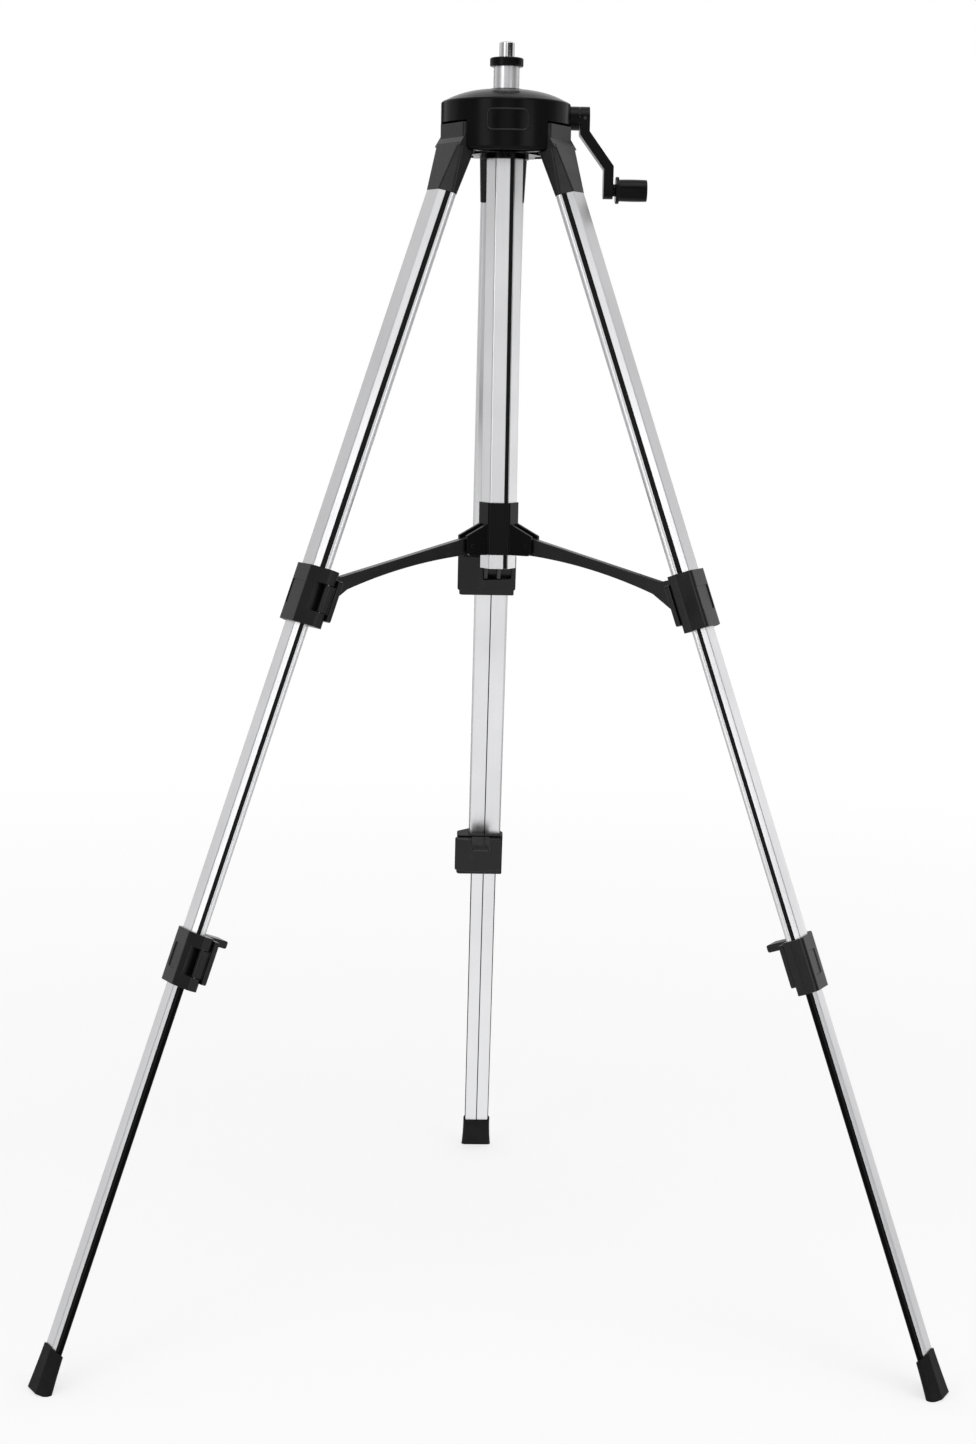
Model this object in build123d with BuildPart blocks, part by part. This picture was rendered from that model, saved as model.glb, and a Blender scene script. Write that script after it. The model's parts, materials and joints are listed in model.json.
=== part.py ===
from build123d import *
import os
from collections import namedtuple
from math import acos, atan2, cos, degrees, hypot, pi, radians, sin, tan

# Laser level tripod: crown with an elevating column, three telescoping legs and a sliding brace.
# Millimetres, +Z up, origin on the ground under the column axis, rear leg towards +Y.

# Stance
leg_azimuths = {"left": 210, "right": 330, "rear": 90}
leg_spacing = 120
leg_tilt = 20.4
leg_length = 1360
leg_axis_radius = 60
sole_flat_edge = 2
fold_angle = 17.5

# Leg tubes: half hexagon extrusions, wide flat face inward
Tube = namedtuple("Tube", "width depth nose side corner")
upper_size = Tube(width=47, depth=17, nose=24, side=6.5, corner=3.6)
middle_size = Tube(width=39.5, depth=13.4, nose=20, side=5.5, corner=3)
lower_size = Tube(width=31.5, depth=10, nose=16, side=4.5, corner=2.4)
tube_wall = 1.3
Stripe = namedtuple("Stripe", "width inset")
upper_stripe = Stripe(width=5.6, inset=1.8)
middle_stripe = Stripe(width=4.6, inset=1.3)
lower_stripe = Stripe(width=3.6, inset=1.1)
stripe_depth = 0.5
seam_width = 1.2
seam_depth = 0.3

# Stations along a leg, measured down its axis from the hip level
shoulder_start = 6
upper_tube_start = 57
spigot_length = 26
upper_lock_station = 500
lower_lock_station = 894
tube_overlap = 32
tube_end_inset = 12

# Shoulder that carries a leg
shoulder_size = Tube(width=51, depth=20.5, nose=47, side=17, corner=4)
shoulder_shift = -1.2
shoulder_lip = 0.4
tongue_top = 16
tongue_face = 66
tongue_elbow = 3
tongue_corner = 3.6
tongue_root = 9
tongue_root_out = 8.9
tongue_root_in = 11

# Leg locks
upper_lock_length = 61
lower_lock_length = 57
collar_wall = 3.5
collar_plain_side = 3
collar_hinge_side = 14.5
collar_hinge_depth = 11
collar_hinge_corner = 4.2
collar_nose_side = 4
collar_nose_corner = 7
collar_corner = 2.4
upper_panel_width = 27.6
lower_panel_width = 15
nose_panel_length = 26
nose_panel_depth = 1
nose_panel_corner = 2
lock_lip = 12
hinge_side = 9.8
hinge_depth = 6.5
window_length = 30
window_gap = 5
lever_pin_diameter = 3
lever_pin_inset = 3
lever_gap = 0.4
lever_end_gap = 0.5
lever_barrel = 3.4
lever_web = 6
upper_lever_top = 8
lower_lever_top = 2
lever_bottom_margin = 9
lever_thick = 9
lever_thin = 5
lever_crest = 16
lever_overhang = 7
upper_lever_free = 28
lower_lever_free = 20.5
lever_corner = 2.5
lever_notch_side = 10.8
lever_notch_depth = 29
lever_strip = 5.2
tab_reach = 26
tab_thickness = 8
tab_width = 22
tab_round = 3.4
tab_side = 5
tab_rise = 2

# Brace
hub_drop = 433
hub_height = 56
hub_wall = 1.7
hub_pin_radius = 38
hub_pin_rise = 10
hub_pin_diameter = 5
hub_pin_head = 0.8
hub_ear_radius = 45
hub_ear_shoulder = 21
hub_ear_top = 34
hub_ear_corner = 4
arm_thickness = 10
arm_hub_eye = 9.5
arm_leg_eye = 7.5
arm_waist = 3
arm_waist_share = 0.45
trunnion_diameter = 5
trunnion_bite = 2.2
trunnion_end_gap = 0.4
trunnion_play = 2.6
ear_gap = 0.6
ear_thickness = 4
bracket_station = 476
bracket_reach = 36
bracket_eye = 6
bracket_foot = 26
bracket_foot_start = 3

# Crown, heights measured from the hip level
crown_radius = 68.4
crown_floor = -11
slot_roof = 20
crown_rim = 43
dome_rise = 12
dome_fullness = 0.72
dome_land = 24
cap_wall = 3
cap_seat = 60
crown_floor_round = 6
crown_rim_round = 3
crown_wall = 3.5
slot_width = 52
slot_root = 32
slot_side_wall = 7
pocket_roof = 16
collar_lip_radius = 25
collar_lip_drop = 5
pivot_radius = 50
pivot_rise = 2
leg_pin_diameter = 8
leg_pin_bite = 6
badge_width = 44.6
badge_height = 23
badge_corner = 6
badge_middle = 20
badge_sink = 1
badge_proud = 0.6
cap_screw_radius = 52
cap_screw_turn = 10
cap_screw_diameter = 4
cap_screw_head = 7
cap_screw_head_height = 3.5
cap_screw_bite = 4.4
cap_boss_diameter = 9

# Centre tube and elevating column
hex_flats = 34
hex_corner = 3
hex_wall = 1.4
hex_drop = 448
hex_socket = 34
hex_stripe_offset = 7.2
hex_stripe_width = 4.2
column_diameter = 27
column_bore = 19.6
column_length = 400
column_top = 79.5
bush_outer = 35
bush_rise = 1.5
plug_flange_height = 6
plug_length = 20
ring_diameter = 35.2
ring_height = 9
ring_chamfer = 0.8
seat_relief = 0.6
stud_diameter = 15.875
stud_height = 16.5
stud_chamfer = 1.2
stud_shank = 12
stud_plug_length = 22

# Rack and pinion
gear_module = 1.25
pinion_teeth = 12
pinion_length = 8
pressure_angle = 25
gear_backlash = 0.12
dedendum_share = 1.2
rack_width = 8.6
rack_seat = 10.6
rack_body = 1.65
rack_travel_down = 19.5
rack_travel_up = 250
rack_run_out = 12
crank_height = 30

# Crank
shaft_diameter = 8
shaft_inner_end = 11
boss_diameter = 25
boss_end = 78.8
crank_bush_outer = 12
crank_bush_start = 58
crank_bush_flange = 16
crank_bush_flange_height = 1.2
arm_gap = 0.5
arm_plate = 10.4
crank_offset = 26.5
crank_throw = 74
crank_top = 12.5
crank_foot = 9.5
crank_bend_top = 15.5
crank_bend_drop = 35.5
arm_socket_depth = 7.5
set_screw_diameter = 4
set_screw_recess = 0.8
grip_pin_diameter = 6
grip_pin_length = 26
grip_diameter = 23.5
grip_length = 30
grip_crown = 0.3
grip_flange_diameter = 28.5
grip_flange_height = 3.6
grip_neck_diameter = 13
grip_neck_length = 2.6

# Feet
foot_size = Tube(width=39, depth=16, nose=23, side=7, corner=4.5)
foot_waist_size = Tube(width=35.6, depth=14.4, nose=20, side=6, corner=3.6)
foot_height = 42
foot_peak = 7
foot_waist = 18
foot_top_grow = 1.8

# Clearances
press_gap = 0.02
running_fit = 0.05
slide_fit = 0.3
slot_fit = 0.5
pinion_room = 0.8

# Heights and angles worked out from the above
tilt = radians(leg_tilt)
hip_height = leg_length * cos(tilt) - sole_flat_edge * sin(tilt)
foot_start = leg_length - foot_height
hub_bottom = hip_height - hub_drop
hub_pin_height = hub_bottom + hub_pin_rise
hex_bottom = hip_height - hex_drop
floor = hip_height + crown_floor
roof = hip_height + slot_roof
rim = hip_height + crown_rim
dome_top = rim + dome_rise
pivot_height = hip_height + pivot_rise
column_top_height = hip_height + column_top
crank_axis_height = hip_height + crank_height
bush_flange_start = boss_end - crank_bush_flange_height
arm_start = boss_end + arm_gap
pressure = radians(pressure_angle)
pitch_radius = gear_module * pinion_teeth / 2
tooth_depth = dedendum_share * gear_module
rack_pitch_line = rack_seat + rack_body + tooth_depth
crank_axis_depth = rack_pitch_line + pitch_radius
tooth_pitch = pi * gear_module
tooth_width = tooth_pitch / 2 - gear_backlash
half_spacing = radians(leg_spacing / 2)
sector_azimuths = [azimuth + leg_spacing / 2 for azimuth in leg_azimuths.values()]
cap_screw_azimuths = [azimuth + cap_screw_turn for azimuth in sector_azimuths]
ear_inner = arm_thickness / 2 + ear_gap

os.makedirs("parts", exist_ok=True)


def write(piece, node):
    """Name a finished piece and write it as one STEP file."""
    piece.part.label = node
    export_step(piece.part, f"parts/{node}.step")


def radial(azimuth):
    """Unit vector away from the column axis."""
    return Vector(cos(radians(azimuth)), sin(radians(azimuth)), 0)


def tangent(azimuth):
    """Unit vector counter-clockwise round the column axis."""
    return Vector(-sin(radians(azimuth)), cos(radians(azimuth)), 0)


def down_leg(azimuth):
    """Unit vector along a spread leg towards its foot."""
    return radial(azimuth) * sin(tilt) - Vector(0, 0, 1) * cos(tilt)


def hip(azimuth):
    """Start of a leg's axis, where its stations are measured from."""
    return radial(azimuth) * leg_axis_radius + Vector(0, 0, hip_height)


def section_plane(azimuth, station):
    """Plane across a leg: x counter-clockwise, y outward, z down the leg."""
    origin = hip(azimuth) + down_leg(azimuth) * station
    return Plane(origin=origin, x_dir=tangent(azimuth), z_dir=down_leg(azimuth))


def flank_plane(azimuth):
    """Plane along a leg: x down the leg, y inward, z counter-clockwise."""
    return Plane(origin=hip(azimuth), x_dir=down_leg(azimuth), z_dir=tangent(azimuth))


def face_plane(azimuth, side, reach):
    """Plane over a leg's outer (1) or inner (-1) side: x counter-clockwise, y up or down the leg."""
    normal = down_leg(azimuth).cross(tangent(azimuth)) * side
    return Plane(origin=hip(azimuth) + normal * reach, x_dir=tangent(azimuth), z_dir=normal)


def upright_plane(azimuth):
    """Upright plane through the column axis and a leg: x outward, y up."""
    return Plane(origin=(0, 0, 0), x_dir=radial(azimuth), z_dir=tangent(azimuth) * -1)


def turned_plane(azimuth, height):
    """Level plane with x outward at an azimuth."""
    return Plane(origin=(0, 0, height), x_dir=radial(azimuth), z_dir=(0, 0, 1))


# Plane across the crank shaft: x to the rear, y up, z to the right
shaft_plane = Plane(origin=(0, crank_axis_depth, crank_axis_height), x_dir=(0, 1, 0), z_dir=(1, 0, 0))
# Plane along the crank shaft: x to the right, y up
crank_plane = Plane(origin=(0, crank_axis_depth, crank_axis_height), x_dir=(1, 0, 0), z_dir=(0, -1, 0))


def half_hexagon(size):
    """Corner points of a leg section, from the inner face round to the nose."""
    half = size.width / 2
    back = -size.depth / 2
    front = size.depth / 2
    return [
        (-half, back),
        (half, back),
        (half, back + size.side),
        (size.nose / 2, front),
        (-size.nose / 2, front),
        (-half, back + size.side),
    ]


def plain_section(size, grow=0.0):
    """Closed leg section, grown or shrunk all round."""
    with BuildSketch() as section:
        with BuildLine():
            Polyline(*half_hexagon(size), close=True)
        make_face()
        fillet(section.vertices(), size.corner)
        if grow:
            offset(amount=grow, mode=Mode.REPLACE)
    return section.sketch


def tube_section(size, stripe):
    """Ring section of a leg tube: a stripe groove on each slanted side, a seam on the inner face."""
    outer = plain_section(size)
    bore = plain_section(size, -tube_wall)
    corners = half_hexagon(size)
    side_corner = Vector(*corners[2])
    slanted = (Vector(*corners[3]) - side_corner).normalized()
    middle = side_corner + slanted * (stripe.inset + stripe.width / 2)
    slant = degrees(atan2(slanted.Y, slanted.X))
    with BuildSketch() as section:
        add(outer)
        add(bore, mode=Mode.SUBTRACT)
        for side in (1, -1):
            with Locations((side * middle.X, middle.Y)):
                Rectangle(stripe.width, 2 * stripe_depth, rotation=side * slant, mode=Mode.SUBTRACT)
        with Locations((0, -size.depth / 2)):
            Rectangle(seam_width, 2 * seam_depth, mode=Mode.SUBTRACT)
    return section.sketch


def hexagon(flats, corner):
    """Rounded hexagon with one flat facing the front."""
    with BuildSketch() as section:
        RegularPolygon(radius=flats / 2, side_count=6, major_radius=False)
        fillet(section.vertices(), corner)
    return section.sketch


upper_section = tube_section(upper_size, upper_stripe)
middle_section = tube_section(middle_size, middle_stripe)
lower_section = tube_section(lower_size, lower_stripe)
spigot_section = plain_section(upper_size, -tube_wall - press_gap)
shoulder_top_section = plain_section(shoulder_size)
shoulder_end_section = plain_section(upper_size, shoulder_lip)
foot_top_section = plain_section(lower_size, foot_top_grow)
foot_waist_section = plain_section(foot_waist_size)
foot_sole_section = plain_section(foot_size)
foot_bore_section = plain_section(lower_size, press_gap)
hex_section = hexagon(hex_flats, hex_corner)
hex_bore_section = hexagon(hex_flats - 2 * hex_wall, hex_corner - hex_wall)
hex_socket_section = hexagon(hex_flats + 2 * press_gap, hex_corner)
hub_bore_section = hexagon(hex_flats + 2 * slide_fit, hex_corner)
hub_section = hexagon(hex_flats + 2 * slide_fit + 2 * hub_wall, hex_corner + hub_wall)


# Badge plate: a bare curved plate let into the front wall
def badge_blank(grow, outer_radius):
    """Oblong cut from a curved shell at the front of the drum."""
    with BuildPart() as blank:
        with BuildSketch(Plane.XZ):
            with Locations((0, hip_height + badge_middle)):
                RectangleRounded(badge_width + 2 * grow, badge_height + 2 * grow, badge_corner)
        extrude(amount=2 * crown_radius)
        with BuildSketch(Plane.XY.offset(floor)):
            Circle(outer_radius)
            Circle(crown_radius - badge_sink, mode=Mode.SUBTRACT)
        extrude(amount=rim - floor, mode=Mode.INTERSECT)
    return blank


badge_plate = badge_blank(0, crown_radius + badge_proud)
write(badge_plate, "badge_plate")
badge_seat = badge_blank(press_gap, 2 * crown_radius)


# Crown body: drum with leg slots, pockets from below, crank boss and sockets
hex_top = floor - collar_lip_drop + hex_socket
pocket_rim = crown_radius - crown_wall
pocket_tip = (slot_width / 2 + slot_side_wall) / sin(half_spacing)
pocket_spread = crown_radius * tan(half_spacing)
pinion_outer = pitch_radius + gear_module
pinion_space = pinion_outer + pinion_room

with BuildPart() as crown_body:
    with BuildSketch(Plane.XZ):
        with BuildLine():
            floor_edge = Line((0, floor), (crown_radius - crown_floor_round, floor))
            floor_arc = JernArc(floor_edge @ 1, (1, 0), crown_floor_round, 90)
            wall = Line(floor_arc @ 1, (crown_radius, rim - crown_rim_round))
            rim_arc = JernArc(wall @ 1, (0, 1), crown_rim_round, 90)
            Polyline(rim_arc @ 1, (0, rim), (0, floor))
        make_face()
    revolve(axis=Axis.Z)
    with BuildSketch(Plane.XY.offset(floor - collar_lip_drop)):
        Circle(collar_lip_radius)
    extrude(amount=collar_lip_drop)
    with BuildSketch(shaft_plane.offset(crank_bush_start / 2)):
        Circle(boss_diameter / 2)
    extrude(amount=boss_end - crank_bush_start / 2)
    # Leg slots, open outward and downward
    for azimuth in leg_azimuths.values():
        with BuildSketch(turned_plane(azimuth, floor)):
            with Locations((slot_root, 0)):
                Rectangle(crown_radius, slot_width, align=(Align.MIN, Align.CENTER))
        extrude(amount=roof - floor, mode=Mode.SUBTRACT)
    # Hollow pockets between the slots, open downward
    for azimuth in sector_azimuths:
        with BuildSketch(turned_plane(azimuth, floor)):
            with BuildLine():
                Polyline(
                    (pocket_tip, 0),
                    (pocket_tip + crown_radius, pocket_spread),
                    (pocket_tip + crown_radius, -pocket_spread),
                    close=True,
                )
            make_face()
            Circle(pocket_rim, mode=Mode.INTERSECT)
        extrude(amount=pocket_roof - crown_floor, mode=Mode.SUBTRACT)
    # Hexagon socket, bush bore and room for the pinion
    with BuildSketch(Plane.XY.offset(floor - collar_lip_drop)):
        add(hex_socket_section)
    extrude(amount=hex_socket, mode=Mode.SUBTRACT)
    with BuildSketch(Plane.XY.offset(hex_top)):
        Circle(bush_outer / 2 + press_gap)
    extrude(amount=rim - hex_top, mode=Mode.SUBTRACT)
    with BuildSketch(shaft_plane):
        Circle(pinion_space)
        Rectangle(crank_axis_depth, 2 * pinion_space, align=(Align.MAX, Align.CENTER))
    extrude(amount=rack_width / 2 + pinion_room, both=True, mode=Mode.SUBTRACT)
    # Shaft bearing, shaft way and bush seat
    with BuildSketch(shaft_plane):
        Circle(shaft_diameter / 2 + running_fit)
    extrude(amount=-shaft_inner_end - slide_fit, mode=Mode.SUBTRACT)
    with BuildSketch(shaft_plane):
        Circle(shaft_diameter / 2 + slide_fit)
    extrude(amount=crank_bush_start, mode=Mode.SUBTRACT)
    with BuildSketch(shaft_plane.offset(crank_bush_start)):
        Circle(crank_bush_outer / 2 + press_gap)
    extrude(amount=boss_end - crank_bush_start, mode=Mode.SUBTRACT)
    with BuildSketch(shaft_plane.offset(bush_flange_start)):
        Circle(crank_bush_flange / 2 + press_gap)
    extrude(amount=crank_bush_flange_height, mode=Mode.SUBTRACT)
    # Leg pin holes and cap screw holes
    for azimuth in leg_azimuths.values():
        with BuildSketch(upright_plane(azimuth)):
            with Locations((pivot_radius, pivot_height)):
                Circle(leg_pin_diameter / 2 + press_gap)
        extrude(amount=slot_width / 2 + leg_pin_bite, both=True, mode=Mode.SUBTRACT)
    for azimuth in cap_screw_azimuths:
        with BuildSketch(turned_plane(azimuth, hip_height)):
            with Locations((cap_screw_radius, 0)):
                Circle(cap_screw_diameter / 2 + press_gap)
        extrude(amount=crown_rim, mode=Mode.SUBTRACT)
    add(badge_seat.part, mode=Mode.SUBTRACT)
write(crown_body, "crown_body")


# Crown cap: hollow dome with three screw bosses
with BuildPart() as crown_cap:
    with BuildSketch(Plane.XZ):
        with BuildLine():
            outer_rim = (crown_radius - crown_rim_round, rim)
            crest = (dome_land, dome_top)
            inner_crest = (dome_land, dome_top - cap_wall)
            inner_rim = (cap_seat, rim)
            sag = (dome_rise - cap_wall) / dome_rise
            bulge = dome_rise * dome_fullness
            middle = ((outer_rim[0] + crest[0]) / 2, rim + bulge)
            inner_middle = ((inner_rim[0] + inner_crest[0]) / 2, rim + bulge * sag)
            ThreePointArc(outer_rim, middle, crest)
            Polyline(
                crest,
                (bush_outer / 2 + press_gap, dome_top),
                (bush_outer / 2 + press_gap, dome_top - cap_wall),
                inner_crest,
            )
            ThreePointArc(inner_crest, inner_middle, inner_rim)
            Line(inner_rim, outer_rim)
        make_face()
    revolve(axis=Axis.Z)
    for azimuth in cap_screw_azimuths:
        with BuildSketch(turned_plane(azimuth, rim)):
            with Locations((cap_screw_radius, 0)):
                Circle(cap_boss_diameter / 2)
        extrude(until=Until.NEXT)
        with BuildSketch(turned_plane(azimuth, rim)):
            with Locations((cap_screw_radius, 0)):
                Circle(cap_screw_diameter / 2 + press_gap)
        extrude(amount=cap_screw_bite, mode=Mode.SUBTRACT)
write(crown_cap, "crown_cap")


# Cap screws, driven up from the pockets
with BuildPart() as cap_screws:
    for azimuth in cap_screw_azimuths:
        with BuildSketch(turned_plane(azimuth, hip_height + pocket_roof)):
            with Locations((cap_screw_radius, 0)):
                Circle(cap_screw_diameter / 2)
        extrude(amount=crown_rim - pocket_roof + cap_screw_bite)
        with BuildSketch(turned_plane(azimuth, hip_height + pocket_roof)):
            with Locations((cap_screw_radius, 0)):
                Circle(cap_screw_head / 2)
        extrude(amount=-cap_screw_head_height)
write(cap_screws, "cap_screws")


# Column bush with a keyway for the rack and a window for the pinion
with BuildPart() as column_bush:
    with BuildSketch(Plane.XY.offset(hex_top)):
        Circle(bush_outer / 2)
        Circle(column_diameter / 2 + running_fit, mode=Mode.SUBTRACT)
        Rectangle(
            rack_width + 2 * slide_fit,
            rack_pitch_line + gear_module + slide_fit,
            align=(Align.CENTER, Align.MIN),
            mode=Mode.SUBTRACT,
        )
    extrude(amount=dome_top + bush_rise - hex_top)
    with BuildSketch(shaft_plane):
        Rectangle(2 * pinion_space, 2 * pinion_space)
    extrude(amount=rack_width / 2 + pinion_room, both=True, mode=Mode.SUBTRACT)
write(column_bush, "column_bush")


# Centre tube with one stripe groove near the right edge of its front flat
with BuildPart() as centre_tube:
    with BuildSketch(Plane.XY.offset(hex_bottom)):
        add(hex_section)
        add(hex_bore_section, mode=Mode.SUBTRACT)
        with Locations((hex_stripe_offset, -hex_flats / 2)):
            Rectangle(hex_stripe_width, 2 * stripe_depth, mode=Mode.SUBTRACT)
    extrude(amount=hex_top - hex_bottom)
write(centre_tube, "centre_tube")


# Leg pins across the three slots
with BuildPart() as leg_pins:
    for azimuth in leg_azimuths.values():
        with BuildSketch(upright_plane(azimuth)):
            with Locations((pivot_radius, pivot_height)):
                Circle(leg_pin_diameter / 2)
        extrude(amount=slot_width / 2 + leg_pin_bite, both=True)
write(leg_pins, "leg_pins")


# Elevating column: thick round tube with a channel at the back for the rack
rack_bottom = crank_axis_height - rack_travel_up - rack_run_out
rack_top = crank_axis_height + rack_travel_down + rack_run_out
column_bottom = column_top_height - column_length

with BuildPart() as column_tube:
    with BuildSketch(Plane.XY.offset(column_bottom)):
        Circle(column_diameter / 2)
        Circle(column_bore / 2, mode=Mode.SUBTRACT)
    extrude(amount=column_length)
    with BuildSketch(Plane.XY.offset(rack_bottom)):
        with Locations((0, rack_seat)):
            Rectangle(rack_width, column_diameter, align=(Align.CENTER, Align.MIN))
    extrude(amount=rack_top - rack_bottom, mode=Mode.SUBTRACT)
write(column_tube, "column_tube")


# Rack strip with straight-sided teeth facing the pinion
tooth_tip = tooth_width / 2 - gear_module * tan(pressure)
tooth_root = tooth_width / 2 + tooth_depth * tan(pressure)
rack_tip_line = rack_pitch_line + gear_module
rack_root_line = rack_pitch_line - tooth_depth
first_gap = int((crank_axis_height - rack_bottom) / tooth_pitch)
last_gap = int((rack_top - crank_axis_height) / tooth_pitch)
tooth_heights = [crank_axis_height + (step + 0.5) * tooth_pitch for step in range(-first_gap, last_gap)]

rack_outline = [(rack_seat, rack_bottom), (rack_root_line, rack_bottom)]
for height in tooth_heights:
    rack_outline += [
        (rack_root_line, height - tooth_root),
        (rack_tip_line, height - tooth_tip),
        (rack_tip_line, height + tooth_tip),
        (rack_root_line, height + tooth_root),
    ]
rack_outline += [(rack_root_line, rack_top), (rack_seat, rack_top)]

with BuildPart() as rack:
    with BuildSketch(Plane.YZ):
        with BuildLine():
            Polyline(*rack_outline, close=True)
        make_face()
    extrude(amount=rack_width / 2, both=True)
write(rack, "rack")


# Stud with its plug in the column, seat ring and bottom guide plug
with BuildPart() as stud:
    with BuildSketch(Plane.XY.offset(column_top_height + ring_height)):
        Circle(stud_diameter / 2)
    extrude(amount=stud_height)
    chamfer(stud.edges().sort_by(Axis.Z)[-1], stud_chamfer)
    with BuildSketch(Plane.XY.offset(column_top_height)):
        Circle(stud_shank / 2)
    extrude(amount=ring_height)
    with BuildSketch(Plane.XY.offset(column_top_height)):
        Circle(column_bore / 2 - press_gap)
    extrude(amount=-stud_plug_length)
write(stud, "stud")

with BuildPart() as seat_ring:
    with BuildSketch(Plane.XY.offset(column_top_height)):
        Circle(ring_diameter / 2)
        Circle(stud_shank / 2 + press_gap, mode=Mode.SUBTRACT)
    extrude(amount=ring_height)
    chamfer(seat_ring.edges().filter_by(GeomType.CIRCLE).sort_by(SortBy.LENGTH)[-2:], ring_chamfer)
    bore_edge = seat_ring.faces().sort_by(Axis.Z)[-1].inner_wires()[0].edges()
    chamfer(bore_edge, (stud_diameter - stud_shank) / 2 + seat_relief)
write(seat_ring, "seat_ring")

with BuildPart() as column_plug:
    with BuildSketch(Plane.XY.offset(column_bottom)):
        Circle(column_bore / 2 - press_gap)
    extrude(amount=plug_length)
    with BuildSketch(Plane.XY.offset(column_bottom)):
        Circle(hex_flats / 2 - hex_wall - slide_fit)
    extrude(amount=-plug_flange_height)
write(column_plug, "column_plug")


# Crank shaft, pinion and flanged bush
def roll(radius):
    """Involute function at a radius of the pinion."""
    angle = acos(min(1.0, pitch_radius * cos(pressure) / radius))
    return tan(angle) - angle


def flank_point(radius, side):
    """Point on one flank of a tooth that is centred on the plane's x axis."""
    half = tooth_width / (2 * pitch_radius) + tan(pressure) - pressure - roll(radius)
    return (radius * cos(half), side * radius * sin(half))


base_radius = pitch_radius * cos(pressure)
root_radius = pitch_radius - tooth_depth
root_half = atan2(flank_point(base_radius, 1)[1], flank_point(base_radius, 1)[0])
root_foot = shaft_diameter / 2 + running_fit

with BuildSketch() as pinion_tooth:
    with BuildLine():
        right = ThreePointArc(*[flank_point(r, -1) for r in (base_radius, pitch_radius, pinion_outer)])
        left = ThreePointArc(*[flank_point(r, 1) for r in (pinion_outer, pitch_radius, base_radius)])
        Line(right @ 1, left @ 0)
        Polyline(
            left @ 1,
            (root_foot * cos(root_half), root_foot * sin(root_half)),
            (root_foot * cos(root_half), -root_foot * sin(root_half)),
            right @ 0,
        )
    make_face()

with BuildPart() as pinion:
    with BuildSketch(shaft_plane):
        Circle(root_radius)
        with PolarLocations(0, pinion_teeth):
            add(pinion_tooth.sketch)
        Circle(shaft_diameter / 2 + press_gap, mode=Mode.SUBTRACT)
    extrude(amount=pinion_length / 2, both=True)
write(pinion, "pinion")

with BuildPart() as crank_shaft:
    with BuildSketch(shaft_plane.offset(-shaft_inner_end)):
        Circle(shaft_diameter / 2)
    extrude(amount=shaft_inner_end + arm_start + arm_socket_depth)
write(crank_shaft, "crank_shaft")

with BuildPart() as crank_bush:
    with BuildSketch(shaft_plane.offset(crank_bush_start)):
        Circle(crank_bush_outer / 2)
    extrude(amount=bush_flange_start - crank_bush_start)
    with BuildSketch(shaft_plane.offset(bush_flange_start)):
        Circle(crank_bush_flange / 2)
    extrude(amount=crank_bush_flange_height)
    with BuildSketch(shaft_plane.offset(crank_bush_start)):
        Circle(shaft_diameter / 2 + running_fit)
    extrude(amount=boss_end - crank_bush_start, mode=Mode.SUBTRACT)
write(crank_bush, "crank_bush")


# Crank arm: a plate bent twice, tapered in side view
arm_end = arm_start + arm_plate
grip_side = arm_end + crank_offset
bend_angle = atan2(crank_offset, crank_bend_drop)
mitre = arm_plate * tan(bend_angle / 2) / 2
bend_low = crank_bend_top + crank_bend_drop
arm_low = -crank_throw - crank_foot

with BuildPart() as crank_arm:
    with BuildSketch(crank_plane):
        with BuildLine():
            Polyline(
                (arm_start, crank_top),
                (arm_end, crank_top),
                (arm_end, -crank_bend_top + mitre),
                (grip_side, -bend_low + mitre),
                (grip_side, arm_low),
                (grip_side - arm_plate, arm_low),
                (grip_side - arm_plate, -bend_low - mitre),
                (arm_start, -crank_bend_top - mitre),
                close=True,
            )
        make_face()
    extrude(amount=crank_top, both=True)
    with BuildSketch(shaft_plane):
        Circle(crank_top)
        with Locations((0, -crank_throw)):
            Circle(crank_foot)
        make_hull()
    extrude(amount=grip_side, mode=Mode.INTERSECT)
    with BuildSketch(shaft_plane.offset(arm_start)):
        Circle(shaft_diameter / 2 + press_gap)
    extrude(amount=arm_socket_depth, mode=Mode.SUBTRACT)
    with BuildSketch(shaft_plane.offset(grip_side)):
        with Locations((0, -crank_throw)):
            Circle(grip_pin_diameter / 2 + press_gap)
    extrude(amount=-arm_socket_depth, mode=Mode.SUBTRACT)
    with BuildSketch(crank_plane):
        with Locations(((arm_start + arm_end) / 2, 0)):
            Circle(set_screw_diameter / 2 + press_gap)
    extrude(amount=crank_top, mode=Mode.SUBTRACT)
write(crank_arm, "crank_arm")

with BuildPart() as crank_screw:
    with BuildSketch(crank_plane.offset(shaft_diameter / 2)):
        with Locations(((arm_start + arm_end) / 2, 0)):
            Circle(set_screw_diameter / 2)
    extrude(amount=crank_top - set_screw_recess - shaft_diameter / 2)
write(crank_screw, "crank_screw")

with BuildPart() as grip_pin:
    with BuildSketch(shaft_plane.offset(grip_side - arm_socket_depth)):
        with Locations((0, -crank_throw)):
            Circle(grip_pin_diameter / 2)
    extrude(amount=arm_socket_depth + grip_neck_length + grip_flange_height + grip_pin_length)
write(grip_pin, "grip_pin")


# Crank grip: neck, flange and slightly crowned handle, turned round the grip pin
neck_start = grip_side + slide_fit
flange_start = neck_start + grip_neck_length
handle_start = flange_start + grip_flange_height
handle_end = handle_start + grip_length
pin_hole = grip_pin_diameter / 2 + running_fit
pin_hole_end = handle_start + grip_pin_length + slide_fit

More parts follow.
